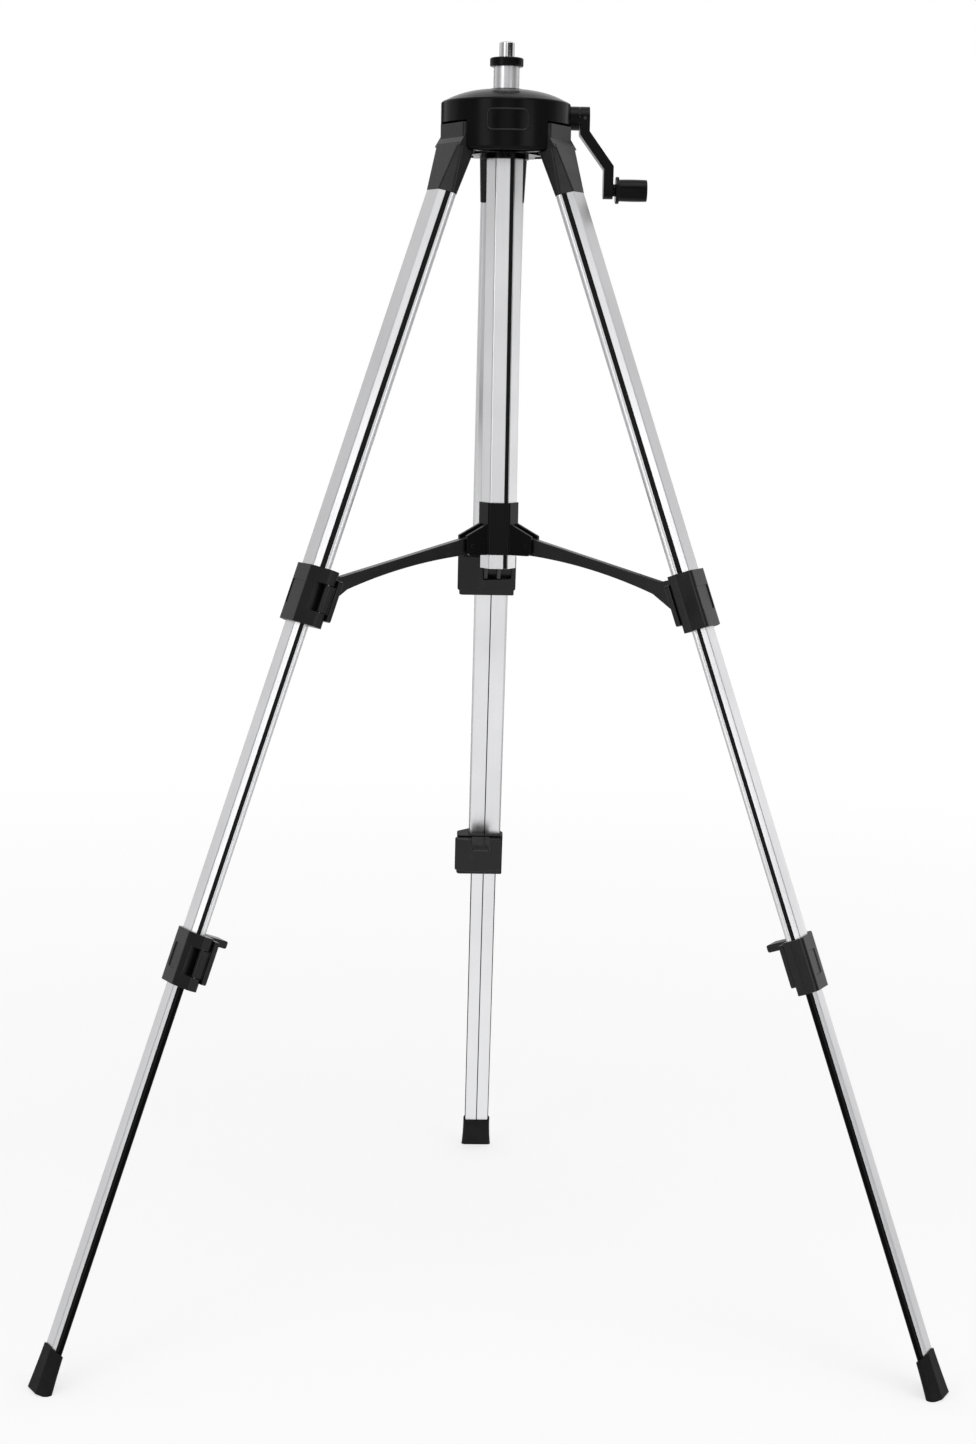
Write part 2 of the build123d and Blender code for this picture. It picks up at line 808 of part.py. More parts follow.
with BuildPart() as crank_grip:
    with BuildSketch(Plane(crank_plane.origin - (0, 0, crank_throw), x_dir=(1, 0, 0), z_dir=(0, -1, 0))):
        with BuildLine():
            Polyline(
                (handle_start, grip_diameter / 2 - grip_crown),
                (handle_start, grip_flange_diameter / 2),
                (flange_start, grip_flange_diameter / 2),
                (flange_start, grip_neck_diameter / 2),
                (neck_start, grip_neck_diameter / 2),
                (neck_start, pin_hole),
                (pin_hole_end, pin_hole),
                (pin_hole_end, 0),
                (handle_end, 0),
                (handle_end, grip_diameter / 2 - grip_crown),
            )
            ThreePointArc(
                (handle_end, grip_diameter / 2 - grip_crown),
                ((handle_start + handle_end) / 2, grip_diameter / 2),
                (handle_start, grip_diameter / 2 - grip_crown),
            )
        make_face()
    revolve(axis=Axis((0, crank_axis_depth, crank_axis_height - crank_throw), (1, 0, 0)))
write(crank_grip, "crank_grip")


# Brace linkage, in the upright plane of a leg: where an arm's outer end goes as the legs fold.
# The hub, the arms and the legs move in fixed proportion, so each arm's trunnions slide in bracket slots.
def leg_point(station, outward):
    """Radius and height of a point in the middle plane of a spread leg."""
    radius = leg_axis_radius + station * sin(tilt) + outward * cos(tilt)
    height = hip_height - station * cos(tilt) + outward * sin(tilt)
    return (radius, height)


def folded(point, angle):
    """Place of a leg's point after the leg has turned inward about its pin."""
    out = point[0] - pivot_radius
    up = point[1] - pivot_height
    return (
        pivot_radius + out * cos(angle) + up * sin(angle),
        pivot_height - out * sin(angle) + up * cos(angle),
    )


fold = radians(fold_angle)
bracket = leg_point(bracket_station, -bracket_reach)
arm_span = hypot(bracket[0] - hub_pin_radius, bracket[1] - hub_pin_height)
arm_dip = atan2(hub_pin_height - bracket[1], bracket[0] - hub_pin_radius)
bracket_folded = folded(bracket, fold)
arm_dip_folded = acos((bracket_folded[0] - hub_pin_radius) / arm_span)
hub_rise = bracket_folded[1] + arm_span * sin(arm_dip_folded) - hub_pin_height

# Far end of a trunnion's path, half way through the fold, brought back to the spread leg
dip_halfway = (arm_dip + arm_dip_folded) / 2
trunnion_halfway = (
    hub_pin_radius + arm_span * cos(dip_halfway),
    hub_pin_height + hub_rise / 2 - arm_span * sin(dip_halfway),
)
trunnion_spread = folded(trunnion_halfway, -fold / 2)
slot_out = trunnion_spread[0] - leg_axis_radius
slot_drop = hip_height - trunnion_spread[1]
slot_station = slot_out * sin(tilt) + slot_drop * cos(tilt)
slot_reach = slot_drop * sin(tilt) - slot_out * cos(tilt)
slot_travel = hypot(slot_station - bracket_station, slot_reach - bracket_reach)
slot_turn = degrees(atan2(slot_reach - bracket_reach, slot_station - bracket_station))
slot_breadth = trunnion_diameter + trunnion_play


# Leg locks: collar with a hinge window, flip lever and its pin
def collar_section(size):
    """Outline of a lock collar round a tube, with the hinge housing on its counter-clockwise side."""
    back = -size.depth / 2 - collar_wall
    front = size.depth / 2 + collar_wall
    plain = size.width / 2 + collar_plain_side
    hinge = size.width / 2 + collar_hinge_side
    nose = size.nose / 2 + collar_nose_side
    corners = {
        (-plain, back): collar_corner,
        (hinge, back): collar_hinge_corner,
        (hinge, back + collar_hinge_depth): collar_corner,
        (nose, front): collar_nose_corner,
        (-nose, front): collar_nose_corner,
        (-plain, back + size.side + collar_wall): collar_corner,
    }
    with BuildSketch() as section:
        with BuildLine():
            Polyline(*corners, close=True)
        make_face()
        for corner, radius in corners.items():
            fillet(section.vertices().sort_by_distance(corner)[0], radius)
    return section.sketch


def hinge_point(size):
    """Place of a lever's hinge in the leg section."""
    return (size.width / 2 + hinge_side, -size.depth / 2 - collar_wall + hinge_depth)


def lever_face(size):
    """Distance of a lever's plate from the leg axis."""
    return size.depth / 2 + collar_wall + lever_gap


def lever_wedge(size, free):
    """Section of a lever's plate: thickest at its crest, thin at both ends."""
    hinge = hinge_point(size)[0] + lever_overhang
    face = -lever_face(size)
    with BuildSketch() as section:
        with BuildLine():
            Polyline(
                (-free, face),
                (hinge, face),
                (hinge, face - lever_thin),
                (lever_crest, face - lever_thick),
                (-free, face - lever_thin),
                close=True,
            )
        make_face()
    return section.sketch


def lever_hinge(size):
    """Section of a lever's barrel and of the web that joins it to the plate."""
    hinge = hinge_point(size)
    outer = hinge[0] + lever_barrel
    with BuildSketch() as section:
        with BuildLine():
            Polyline(
                (outer, hinge[1]),
                (outer - lever_web, hinge[1]),
                (outer - lever_web, -lever_face(size) - lever_thin / 2),
                (outer, -lever_face(size) - lever_thin / 2),
                close=True,
            )
        make_face()
        with Locations(hinge):
            Circle(lever_barrel)
            Circle(lever_pin_diameter / 2 + running_fit, mode=Mode.SUBTRACT)
    return section.sketch


LockKind = namedtuple("LockKind", "tube inner middle length panel top free bracket")
upper_lock = LockKind(
    tube=upper_size,
    inner=middle_size,
    middle=upper_lock_station,
    length=upper_lock_length,
    panel=upper_panel_width,
    top=upper_lever_top,
    free=upper_lever_free,
    bracket=True,
)
lower_lock = LockKind(
    tube=middle_size,
    inner=lower_size,
    middle=lower_lock_station,
    length=lower_lock_length,
    panel=lower_panel_width,
    top=lower_lever_top,
    free=lower_lever_free,
    bracket=False,
)
LockForm = namedtuple("LockForm", "outline seat throat wedge hinge")
lock_forms = {
    lock: LockForm(
        outline=collar_section(lock.tube),
        seat=plain_section(lock.tube, press_gap),
        throat=plain_section(lock.inner, slide_fit),
        wedge=lever_wedge(lock.tube, lock.free),
        hinge=lever_hinge(lock.tube),
    )
    for lock in (upper_lock, lower_lock)
}


def lock_start(lock):
    """Station of a lock's upper end."""
    return lock.middle - lock.length / 2


def lock_collar(azimuth, lock):
    """Collar that is fixed on the end of one tube and guides the next one."""
    size = lock.tube
    form = lock_forms[lock]
    start = lock_start(lock)
    face = size.depth / 2 + collar_wall
    hinge = hinge_point(size)
    window_side = hinge[0] - lever_barrel - window_gap
    with BuildPart() as collar:
        with BuildSketch(section_plane(azimuth, start)):
            add(form.outline)
        extrude(amount=lock.length)
        if lock.bracket:
            slot_middle = ((bracket_station + slot_station) / 2, (bracket_reach + slot_reach) / 2)
            for side in (1, -1):
                with BuildSketch(flank_plane(azimuth).offset(side * ear_inner)):
                    with Locations((bracket_station, bracket_reach), (slot_station, slot_reach)):
                        Circle(bracket_eye)
                    with Locations((start + bracket_foot_start, face)):
                        Rectangle(bracket_foot, collar_wall, align=(Align.MIN, Align.CENTER))
                    make_hull()
                extrude(amount=side * ear_thickness)
                with BuildSketch(flank_plane(azimuth).offset(side * ear_inner)):
                    with Locations(slot_middle):
                        SlotCenterToCenter(slot_travel, slot_breadth, rotation=slot_turn)
                extrude(amount=side * (trunnion_bite + trunnion_end_gap), mode=Mode.SUBTRACT)
        with BuildSketch(face_plane(azimuth, 1, face)):
            with Locations((0, -lock.middle)):
                RectangleRounded(lock.panel, nose_panel_length, nose_panel_corner)
        extrude(amount=-nose_panel_depth, mode=Mode.SUBTRACT)
        with BuildSketch(section_plane(azimuth, start)):
            add(form.seat)
        extrude(amount=lock.length - lock_lip, mode=Mode.SUBTRACT)
        with BuildSketch(section_plane(azimuth, start + lock.length - lock_lip)):
            add(form.throat)
        extrude(amount=lock_lip, mode=Mode.SUBTRACT)
        with BuildSketch(section_plane(azimuth, lock.middle - window_length / 2)):
            with Locations((window_side, 0)):
                Rectangle(2 * size.width, 4 * size.depth, align=(Align.MIN, Align.CENTER))
        extrude(amount=window_length, mode=Mode.SUBTRACT)
        with BuildSketch(section_plane(azimuth, start + lever_pin_inset)):
            with Locations(hinge):
                Circle(lever_pin_diameter / 2 + press_gap)
        extrude(amount=lock.length - 2 * lever_pin_inset, mode=Mode.SUBTRACT)
    return collar


def lock_lever(azimuth, lock):
    """Flip lever over the collar's inner face, with a notch for the bracket or a thumb tab at its top."""
    size = lock.tube
    form = lock_forms[lock]
    start = lock_start(lock) + lock.top
    length = lock.length - lock.top - lever_bottom_margin
    face = lever_face(size)
    hinge = hinge_point(size)[0] + lever_overhang
    barrel_start = lock.middle - window_length / 2 + lever_end_gap
    with BuildPart() as lever:
        with BuildSketch(face_plane(azimuth, -1, face)) as plan:
            with Locations((-lock.free, start)):
                Rectangle(hinge + lock.free, length, align=(Align.MIN, Align.MIN))
            if lock.bracket:
                with Locations((lever_notch_side, start)):
                    Rectangle(
                        lever_notch_side - lever_strip + lock.free,
                        2 * lever_notch_depth,
                        align=(Align.MAX, Align.CENTER),
                        mode=Mode.SUBTRACT,
                    )
            fillet(plan.vertices(), lever_corner)
        extrude(amount=lever_thick)
        with BuildSketch(section_plane(azimuth, start)):
            add(form.wedge)
        extrude(amount=length, mode=Mode.INTERSECT)
        with BuildSketch(section_plane(azimuth, barrel_start)):
            add(form.hinge)
        extrude(amount=window_length - 2 * lever_end_gap)
        if not lock.bracket:
            with BuildSketch(face_plane(azimuth, -1, face + lever_thin / 2)):
                with Locations((tab_side, start - tab_rise)):
                    Rectangle(tab_width, tab_thickness, align=(Align.CENTER, Align.MIN))
            extrude(amount=tab_reach - lever_thin / 2)
            inward = Axis(hip(azimuth), face_plane(azimuth, -1, face).z_dir)
            fillet(lever.faces().sort_by(inward)[-1].edges(), tab_round)
    return lever


def lever_pin(azimuth, lock):
    """Pin that a lever turns on."""
    with BuildPart() as pin:
        with BuildSketch(section_plane(azimuth, lock_start(lock) + lever_pin_inset)):
            with Locations(hinge_point(lock.tube)):
                Circle(lever_pin_diameter / 2)
        extrude(amount=lock.length - 2 * lever_pin_inset)
    return pin


# Legs
upper_tube_end = lock_start(upper_lock) + upper_lock_length - lock_lip
middle_tube_start = lock_start(upper_lock) - tube_overlap
middle_tube_end = lock_start(lower_lock) + lower_lock_length - lock_lip
lower_tube_start = lock_start(lower_lock) - tube_overlap
lower_tube_end = leg_length - tube_end_inset


def leg_tube(azimuth, section, start, end):
    """Straight length of a leg extrusion."""
    with BuildPart() as tube:
        with BuildSketch(section_plane(azimuth, start)):
            add(section)
        extrude(amount=end - start)
    return tube


def shoulder(azimuth):
    """Socket that swings on the leg pin, with a spigot inside the upper tube."""
    barrel_back = (pivot_radius - tongue_top, pivot_height)
    barrel_top = (pivot_radius, pivot_height + tongue_top)
    barrel_turn = (pivot_radius - tongue_top * sin(pi / 4), pivot_height + tongue_top * cos(pi / 4))
    with BuildPart() as socket:
        with BuildSketch(section_plane(azimuth, shoulder_start)):
            with Locations((0, shoulder_shift)):
                add(shoulder_top_section)
        with BuildSketch(section_plane(azimuth, upper_tube_start)):
            add(shoulder_end_section)
        loft()
        with BuildSketch(upright_plane(azimuth)):
            with BuildLine():
                ThreePointArc(barrel_back, barrel_turn, barrel_top)
                Polyline(
                    barrel_top,
                    (tongue_face, pivot_height + tongue_top),
                    (tongue_face, hip_height + tongue_elbow),
                    leg_point(tongue_root, tongue_root_out),
                    leg_point(tongue_root, -tongue_root_in),
                    barrel_back,
                )
            make_face()
        extrude(amount=slot_width / 2 - slot_fit, both=True)
        fillet(socket.edges().filter_by(Axis.Z), tongue_corner)
        with BuildSketch(section_plane(azimuth, upper_tube_start)):
            add(spigot_section)
        extrude(amount=spigot_length)
        with BuildSketch(upright_plane(azimuth)):
            with Locations((pivot_radius, pivot_height)):
                Circle(leg_pin_diameter / 2 + running_fit)
        extrude(amount=slot_width, both=True, mode=Mode.SUBTRACT)
    return socket


def foot(azimuth):
    """Rubber boot on the lower tube, with a flat sole on the ground and a peak at the nose."""
    with BuildPart() as boot:
        with BuildSketch(section_plane(azimuth, foot_start - foot_peak)):
            add(foot_top_section)
        with BuildSketch(section_plane(azimuth, foot_start + foot_waist)):
            add(foot_waist_section)
        with BuildSketch(section_plane(azimuth, leg_length)):
            add(foot_sole_section)
        loft()
        with BuildSketch(section_plane(azimuth, foot_start - foot_peak)):
            add(foot_bore_section)
        extrude(amount=lower_tube_end - foot_start + foot_peak, mode=Mode.SUBTRACT)
        with BuildSketch(flank_plane(azimuth)):
            with BuildLine():
                Polyline(
                    (foot_start, foot_size.depth / 2),
                    (foot_start - foot_peak, -foot_size.depth / 2),
                    (foot_start - 2 * foot_peak, -foot_size.depth / 2),
                    (foot_start - 2 * foot_peak, foot_size.depth / 2),
                    close=True,
                )
            make_face()
        extrude(amount=foot_size.width, both=True, mode=Mode.SUBTRACT)
        split(bisect_by=Plane.XY, keep=Keep.TOP)
    return boot


for leg, azimuth in leg_azimuths.items():
    write(shoulder(azimuth), f"{leg}_shoulder")
    write(leg_tube(azimuth, upper_section, upper_tube_start, upper_tube_end), f"{leg}_upper_tube")
    write(lock_collar(azimuth, upper_lock), f"{leg}_upper_collar")
    write(lock_lever(azimuth, upper_lock), f"{leg}_upper_lever")
    write(lever_pin(azimuth, upper_lock), f"{leg}_upper_lever_pin")
    write(leg_tube(azimuth, middle_section, middle_tube_start, middle_tube_end), f"{leg}_middle_tube")
    write(lock_collar(azimuth, lower_lock), f"{leg}_lower_collar")
    write(lock_lever(azimuth, lower_lock), f"{leg}_lower_lever")
    write(lever_pin(azimuth, lower_lock), f"{leg}_lower_lever_pin")
    write(leg_tube(azimuth, lower_section, lower_tube_start, lower_tube_end), f"{leg}_lower_tube")
    write(foot(azimuth), f"{leg}_foot")


# Brace hub: hexagon sleeve with three pairs of ears
sleeve_face = hex_flats / 2 + slide_fit + hub_wall

with BuildPart() as brace_hub:
    with BuildSketch(Plane.XY.offset(hub_bottom)):
        add(hub_section)
    extrude(amount=hub_height)
    for azimuth in leg_azimuths.values():
        for side in (1, -1):
            with BuildSketch(upright_plane(azimuth).offset(side * ear_inner)):
                with BuildLine():
                    Polyline(
                        (sleeve_face - hub_wall / 2, hub_bottom),
                        (hub_ear_radius - hub_ear_corner, hub_bottom),
                        (hub_ear_radius, hub_bottom + hub_ear_corner),
                        (hub_ear_radius, hub_bottom + hub_ear_shoulder),
                        (sleeve_face - hub_wall / 2, hub_bottom + hub_ear_top),
                        close=True,
                    )
                make_face()
                with Locations((hub_pin_radius, hub_pin_height)):
                    Circle(hub_pin_diameter / 2 + press_gap, mode=Mode.SUBTRACT)
            extrude(amount=side * ear_thickness)
    with BuildSketch(Plane.XY.offset(hub_bottom)):
        add(hub_bore_section)
    extrude(amount=hub_height, mode=Mode.SUBTRACT)
write(brace_hub, "brace_hub")

with BuildPart() as hub_pins:
    for azimuth in leg_azimuths.values():
        with BuildSketch(upright_plane(azimuth)):
            with Locations((hub_pin_radius, hub_pin_height)):
                Circle(hub_pin_diameter / 2)
        extrude(amount=ear_inner + ear_thickness + hub_pin_head, both=True)
write(hub_pins, "hub_pins")


# Brace arms: waisted bars from the hub to the leg brackets
def brace_arm(azimuth):
    """Bar with an eye on the hub pin, trunnions at its outer end and an arched lower edge."""
    along = radial(azimuth) * cos(arm_dip) - Vector(0, 0, 1) * sin(arm_dip)
    origin = radial(azimuth) * hub_pin_radius + Vector(0, 0, hub_pin_height)
    with BuildPart() as arm:
        arm_plane = Plane(origin=origin, x_dir=along, z_dir=tangent(azimuth) * -1)
        with BuildSketch(arm_plane):
            with BuildLine():
                ThreePointArc(
                    (arm_span, -arm_leg_eye), (arm_waist_share * arm_span, -arm_waist), (0, -arm_hub_eye)
                )
                Polyline(
                    (0, -arm_hub_eye),
                    (0, arm_hub_eye),
                    (arm_span, arm_leg_eye),
                    (arm_span, -arm_leg_eye),
                )
            make_face()
            Circle(arm_hub_eye)
            with Locations((arm_span, 0)):
                Circle(arm_leg_eye)
            Circle(hub_pin_diameter / 2 + running_fit, mode=Mode.SUBTRACT)
        extrude(amount=arm_thickness / 2, both=True)
        with BuildSketch(arm_plane):
            with Locations((arm_span, 0)):
                Circle(trunnion_diameter / 2)
        extrude(amount=ear_inner + trunnion_bite, both=True)
    return arm


for leg, azimuth in leg_azimuths.items():
    write(brace_arm(azimuth), f"{leg}_brace_arm")
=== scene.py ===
import json
from math import atan2, cos, hypot, pi, radians, sin

import bmesh
import bpy
from mathutils import Matrix, Vector


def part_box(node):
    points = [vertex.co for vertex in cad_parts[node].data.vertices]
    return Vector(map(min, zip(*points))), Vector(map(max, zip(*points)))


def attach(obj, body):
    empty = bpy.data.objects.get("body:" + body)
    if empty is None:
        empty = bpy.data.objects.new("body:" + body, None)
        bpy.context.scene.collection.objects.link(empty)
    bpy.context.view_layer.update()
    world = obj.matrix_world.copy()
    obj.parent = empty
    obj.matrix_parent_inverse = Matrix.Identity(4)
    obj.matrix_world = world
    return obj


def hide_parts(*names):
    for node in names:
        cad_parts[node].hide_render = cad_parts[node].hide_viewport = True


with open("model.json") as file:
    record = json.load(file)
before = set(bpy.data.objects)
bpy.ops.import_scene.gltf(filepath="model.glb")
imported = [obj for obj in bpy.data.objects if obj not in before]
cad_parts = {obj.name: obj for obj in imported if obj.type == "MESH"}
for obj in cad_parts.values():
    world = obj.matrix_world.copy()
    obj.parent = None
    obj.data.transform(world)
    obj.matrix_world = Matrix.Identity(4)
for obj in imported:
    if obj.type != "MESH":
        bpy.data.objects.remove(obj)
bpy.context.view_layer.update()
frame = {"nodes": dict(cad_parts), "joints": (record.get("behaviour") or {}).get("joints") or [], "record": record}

# Sizes are in metres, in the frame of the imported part.
MM = 0.001
LEGS = ("left", "right", "rear")

# Camera, fitted to the picture of 976 by 1444 pixels. The sensor is in millimetres and the angles in degrees.
PICTURE_HEIGHT = 1444
FOCAL_PIXELS = 2433.28
SENSOR = 36.0
CAMERA_AWAY = 2.63359
CAMERA_ASIDE = -0.00009
CAMERA_HEIGHT = 1.0577
TRIPOD_TURN = 1.7233
CAMERA_PITCH = 8.6622
CAMERA_YAW = -0.1645
CAMERA_ROLL = 0.9993

# Edges of the finished copies, with angles in degrees
MERGE_DISTANCE = 0.002 * MM
FLAT_ANGLE = 0.4
SHARP_ANGLE = 32
EDGE_STEPS = 2
EDGE_SLOT = 1
EDGE_ROUND = {
    "black_plastic": 0.6 * MM,
    "bright_tube": 0.15 * MM,
    "black_rubber": 0.9 * MM,
    "steel": 0.2 * MM,
}
SOFTER_EDGES = {"collar": 1.0 * MM, "lever": 0.9 * MM, "shoulder": 0.9 * MM, "crown_body": 0.9 * MM}

# Where the legs hang, and the grooves of the tubes, in the same sizes as the solids
HIP_HEIGHT = 1274.006 * MM
LEG_AXIS_RADIUS = 60 * MM
STRIPE_DEPTH = 0.5 * MM
SEAM_DEPTH = 0.3 * MM
SEAM_WIDTH = 1.2 * MM
# Leg tubes: body, ends along the leg, side corner and nose corner of the grooved face, and the groove's inset
# from the side corner and its width, in mm
TUBE_GROOVES = {
    "upper": ("leg", (57, 518.5), (23.5, -2.0), (12.0, 8.5), 1.8, 5.6),
    "middle": ("middle", (437.5, 910.5), (19.75, -1.2), (10.0, 6.7), 1.3, 4.6),
    "lower": ("lower", (833.5, 1348), (15.75, -0.5), (8.0, 5.0), 1.1, 3.6),
}
# Centre tube: ends below the hip height, the front flat's distance, and the groove's place and width, in mm
HEX_GROOVE = ((-18, 448), 17, 7.2, 4.2)

# How deep a strip sits in its groove's floor, the crown of its face, its play, and its corners across
STRIPE_SINK = 0.05 * MM
STRIPE_CROWN = 0.1 * MM
STRIPE_GAP = 0.1 * MM
STRIPE_COLUMNS = 7
# Distance from the middle of a lower tube at which the painted dark reflection on its lands starts
PAINTED_REFLECTION_START = 14.6 * MM

# Bead round the bare badge
BEAD_WIDTH = 42.4 * MM
BEAD_HEIGHT = 20.8 * MM
BEAD_CORNER = 5 * MM
BEAD_RADIUS = 0.9 * MM
CROWN_RADIUS = 69 * MM
BEAD_CORNER_STEPS = 8
BEAD_PATH_POINTS = 180
BEAD_RING_POINTS = 12

# Scales of the noises that make patches
SCUFF_PATCHES = 6.0
EDGE_PATCHES = 55.0
DUST_PATCHES = 45.0
TONE_PATCHES = 9.0
# Values of a noise, or of a normal's height, between which a mask or a roughness grows
GLOSS_RANGE = (0.3, 0.7)
SCUFF_RANGE = (0.56, 0.72)
PATCH_RANGE = (0.42, 0.62)
EDGE_RANGE = (0.4, 0.65)
UPWARD_RANGE = (0.35, 0.95)
DUST_RANGE = (0.35, 0.7)
LINE_RANGE = (0.7, 1.3)
# Share of the painted highlight that every softened edge has
EDGE_LEAST = 0.15
# Scale of a tube's own coordinates, which draws the noise out into lines along it
LINE_STRETCH = (1.0, 1.0, 0.004)

# Depth and strength of the relief
GRAIN_RELIEF = (0.06 * MM, 0.35)
LINE_RELIEF = (0.02 * MM, 0.2)

DUST = (0.23, 0.22, 0.2)
# Black of the painted dark reflection on the lower tubes' lands
PAINTED_REFLECTION_BLACK = (0.004, 0.004, 0.004)
WHITE = (1.0, 1.0, 1.0, 1.0)
BLACK = (0.0, 0.0, 0.0, 1.0)

# Floor: half its side, its paint, and its glow, which grows between two distances from the middle
FLOOR_REACH = 15.0
FLOOR_GREY = (0.35, 0.35, 0.35, 1.0)
FLOOR_ROUGHNESS = 0.9
GLOW_DISTANCES = (0.8, 4.0)
GLOW_TONES = (0.66, 0.78)
# Strength of the background: as light, and where it is seen
SKY_LIGHT = 0.65
SKY_SEEN = 1.0

# Upright cards: name, two places over the floor, heights of the lower and upper edge, tone.
# Those of a pair are given for the left side.
PAIRED_CARDS = (
    ("card", (-1.9, -1.75), (-1.9, 0.25), (0.0, 2.2), 0.45),
    ("front_card", (-1.3, -2.9), (-0.6, -2.9), (0.0, 2.4), 0.25),
    ("edge_card", (-1.25, 1.6), (-0.45, 1.95), (0.0, 1.75), 0.05),
    ("nose_card", (-1.9, 0.5), (-1.9, 1.6), (1.25, 2.8), 0.78),
)
SINGLE_CARDS = (
    ("column_card", (-0.156, -0.37), (0.31, -0.25), (1.345, 1.395), 0.55),
    ("front_board", (-0.45, -2.9), (0.45, -2.9), (0.5, 1.6), 1.3),
    ("right_back_board", (1.9, 0.6), (1.9, 1.7), (0.4, 1.25), 1.3),
    ("stud_card", (0.1, -0.39), (0.41, 0.03), (1.395, 1.46), 0.02),
)
# Boards on the floor: name, two corners, tone; and how far they lie above it
FLOOR_BOARDS = (
    ("floor_board", (-0.3, -0.75), (0.3, 0.62), 1.22),
    ("left_floor_board", (-1.1, 0.25), (-0.36, 0.9), 0.05),
    ("right_floor_board", (0.36, 0.25), (1.1, 0.9), 0.05),
)
BOARD_LIFT = 0.002
# Lamps: name, place, the place it is pointed at, width, height, watts
SOFT_BOXES = (
    ("left_box", (-2.05, -2.45, 1.2), (0.0, 0.0, 0.65), 1.3, 2.3, 15.5),
    ("right_box", (2.05, -2.45, 1.2), (0.0, 0.0, 0.65), 1.3, 2.3, 15.5),
    ("top_box", (0.4, -0.9, 3.4), (0.0, 0.0, 1.0), 1.6, 1.6, 18.0),
)

joints = {joint["name"]: joint for joint in frame["joints"]}
slots = {part["node"]: part["material_slot"] for part in frame["record"]["subparts"]}
bodies = frame["record"]["behaviour"]["bodies"]
body_of_node = {node: body for body, nodes in bodies.items() for node in nodes}


# Nodes of any tree

def set_input(tree, socket, value):
    """Put a value in a socket, or link another socket to it."""
    if isinstance(value, bpy.types.NodeSocket):
        tree.links.new(value, socket)
    else:
        socket.default_value = value


def new_node(tree, kind, **values):
    """Node with its inputs set or linked; a name's underscores stand for spaces."""
    node = tree.nodes.new(kind)
    for label, value in values.items():
        set_input(tree, node.inputs[label.replace("_", " ")], value)
    return node


def reckon(tree, operation, first, second=0.0):
    """Arithmetic on one or two values."""
    node = tree.nodes.new("ShaderNodeMath")
    node.operation = operation
    set_input(tree, node.inputs[0], first)
    set_input(tree, node.inputs[1], second)
    return node.outputs["Value"]


def parts_of(tree, vector):
    """The three values of a vector."""
    return new_node(tree, "ShaderNodeSeparateXYZ", Vector=vector).outputs


def vector_of(tree, x=0.0, y=0.0, z=0.0):
    """Vector of three values."""
    return new_node(tree, "ShaderNodeCombineXYZ", X=x, Y=y, Z=z).outputs[0]


# Shader node groups

def new_group(name, inputs, outputs):
    """Empty shader node group with its inputs and their usual values, and its outputs, all of them floats."""
    group = bpy.data.node_groups.new(name, "ShaderNodeTree")
    for label, value in inputs.items():
        socket = group.interface.new_socket(label, in_out="INPUT", socket_type="NodeSocketFloat")
        socket.default_value = value
    for label in outputs:
        group.interface.new_socket(label, in_out="OUTPUT", socket_type="NodeSocketFloat")
    return group, group.nodes.new("NodeGroupInput").outputs, group.nodes.new("NodeGroupOutput").inputs


def noise(tree, vector, scale, detail=4.0, roughness=0.55):
    """Noise texture on a coordinate; scale is a number or a socket."""
    node = new_node(
        tree, "ShaderNodeTexNoise", Vector=vector, Scale=scale, Detail=detail, Roughness=roughness
    )
    return node.outputs["Fac"]


def ramp(tree, value, span, low=0.0, high=1.0):
    """Clamped change from the range of a span to that of two other values."""
    node = new_node(
        tree, "ShaderNodeMapRange", Value=value, From_Min=span[0], From_Max=span[1], To_Min=low, To_Max=high
    )
    return node.outputs["Result"]


def object_place(tree):
    """Object coordinates, which are the part's own frame."""
    return tree.nodes.new("ShaderNodeTexCoord").outputs["Object"]


def stored(tree, name):
    """Outputs of an attribute that is stored on the mesh."""
    node = tree.nodes.new("ShaderNodeAttribute")
    node.attribute_name = name
    return node.outputs


def make_moulded_grain():
    """Fine spark-eroded grain with slow changes of gloss."""
    group, given, out = new_group(
        "moulded_grain",
        {"Grain": 900.0, "Gloss Patches": 22.0, "Rough Low": 0.4, "Rough High": 0.5},
        ("Height", "Roughness"),
    )
    place = object_place(group)
    fine = noise(group, place, given["Grain"], detail=2.0)
    slow = noise(group, place, given["Gloss Patches"], detail=5.0)
    rough = ramp(group, slow, GLOSS_RANGE, given["Rough Low"], given["Rough High"])
    group.links.new(fine, out["Height"])
    group.links.new(rough, out["Roughness"])
    return group


def make_handling_marks():
    """Mask of small scuffs and rubbed patches."""
    group, given, out = new_group("handling_marks", {"Size": 70.0, "Amount": 0.35}, ("Mask",))
    place = object_place(group)
    scuffs = ramp(group, noise(group, place, given["Size"], detail=8.0, roughness=0.7), SCUFF_RANGE)
    patches = ramp(group, noise(group, place, SCUFF_PATCHES, detail=2.0), PATCH_RANGE)
    both = reckon(group, "MULTIPLY", scuffs, patches)
    group.links.new(reckon(group, "MULTIPLY", both, given["Amount"]), out["Mask"])
    return group


def make_painted_edge_highlight():
    """Mask of a painted highlight on the softened edges, more in some places than in others."""
    group, given, out = new_group("rubbed_edges", {"Amount": 0.6}, ("Mask",))
    patches = ramp(group, noise(group, object_place(group), EDGE_PATCHES), EDGE_RANGE, EDGE_LEAST, 1.0)
    highlighted_strips = reckon(group, "MULTIPLY", stored(group, "edge_strip")["Fac"], patches)
    group.links.new(reckon(group, "MULTIPLY", highlighted_strips, given["Amount"]), out["Mask"])
    return group


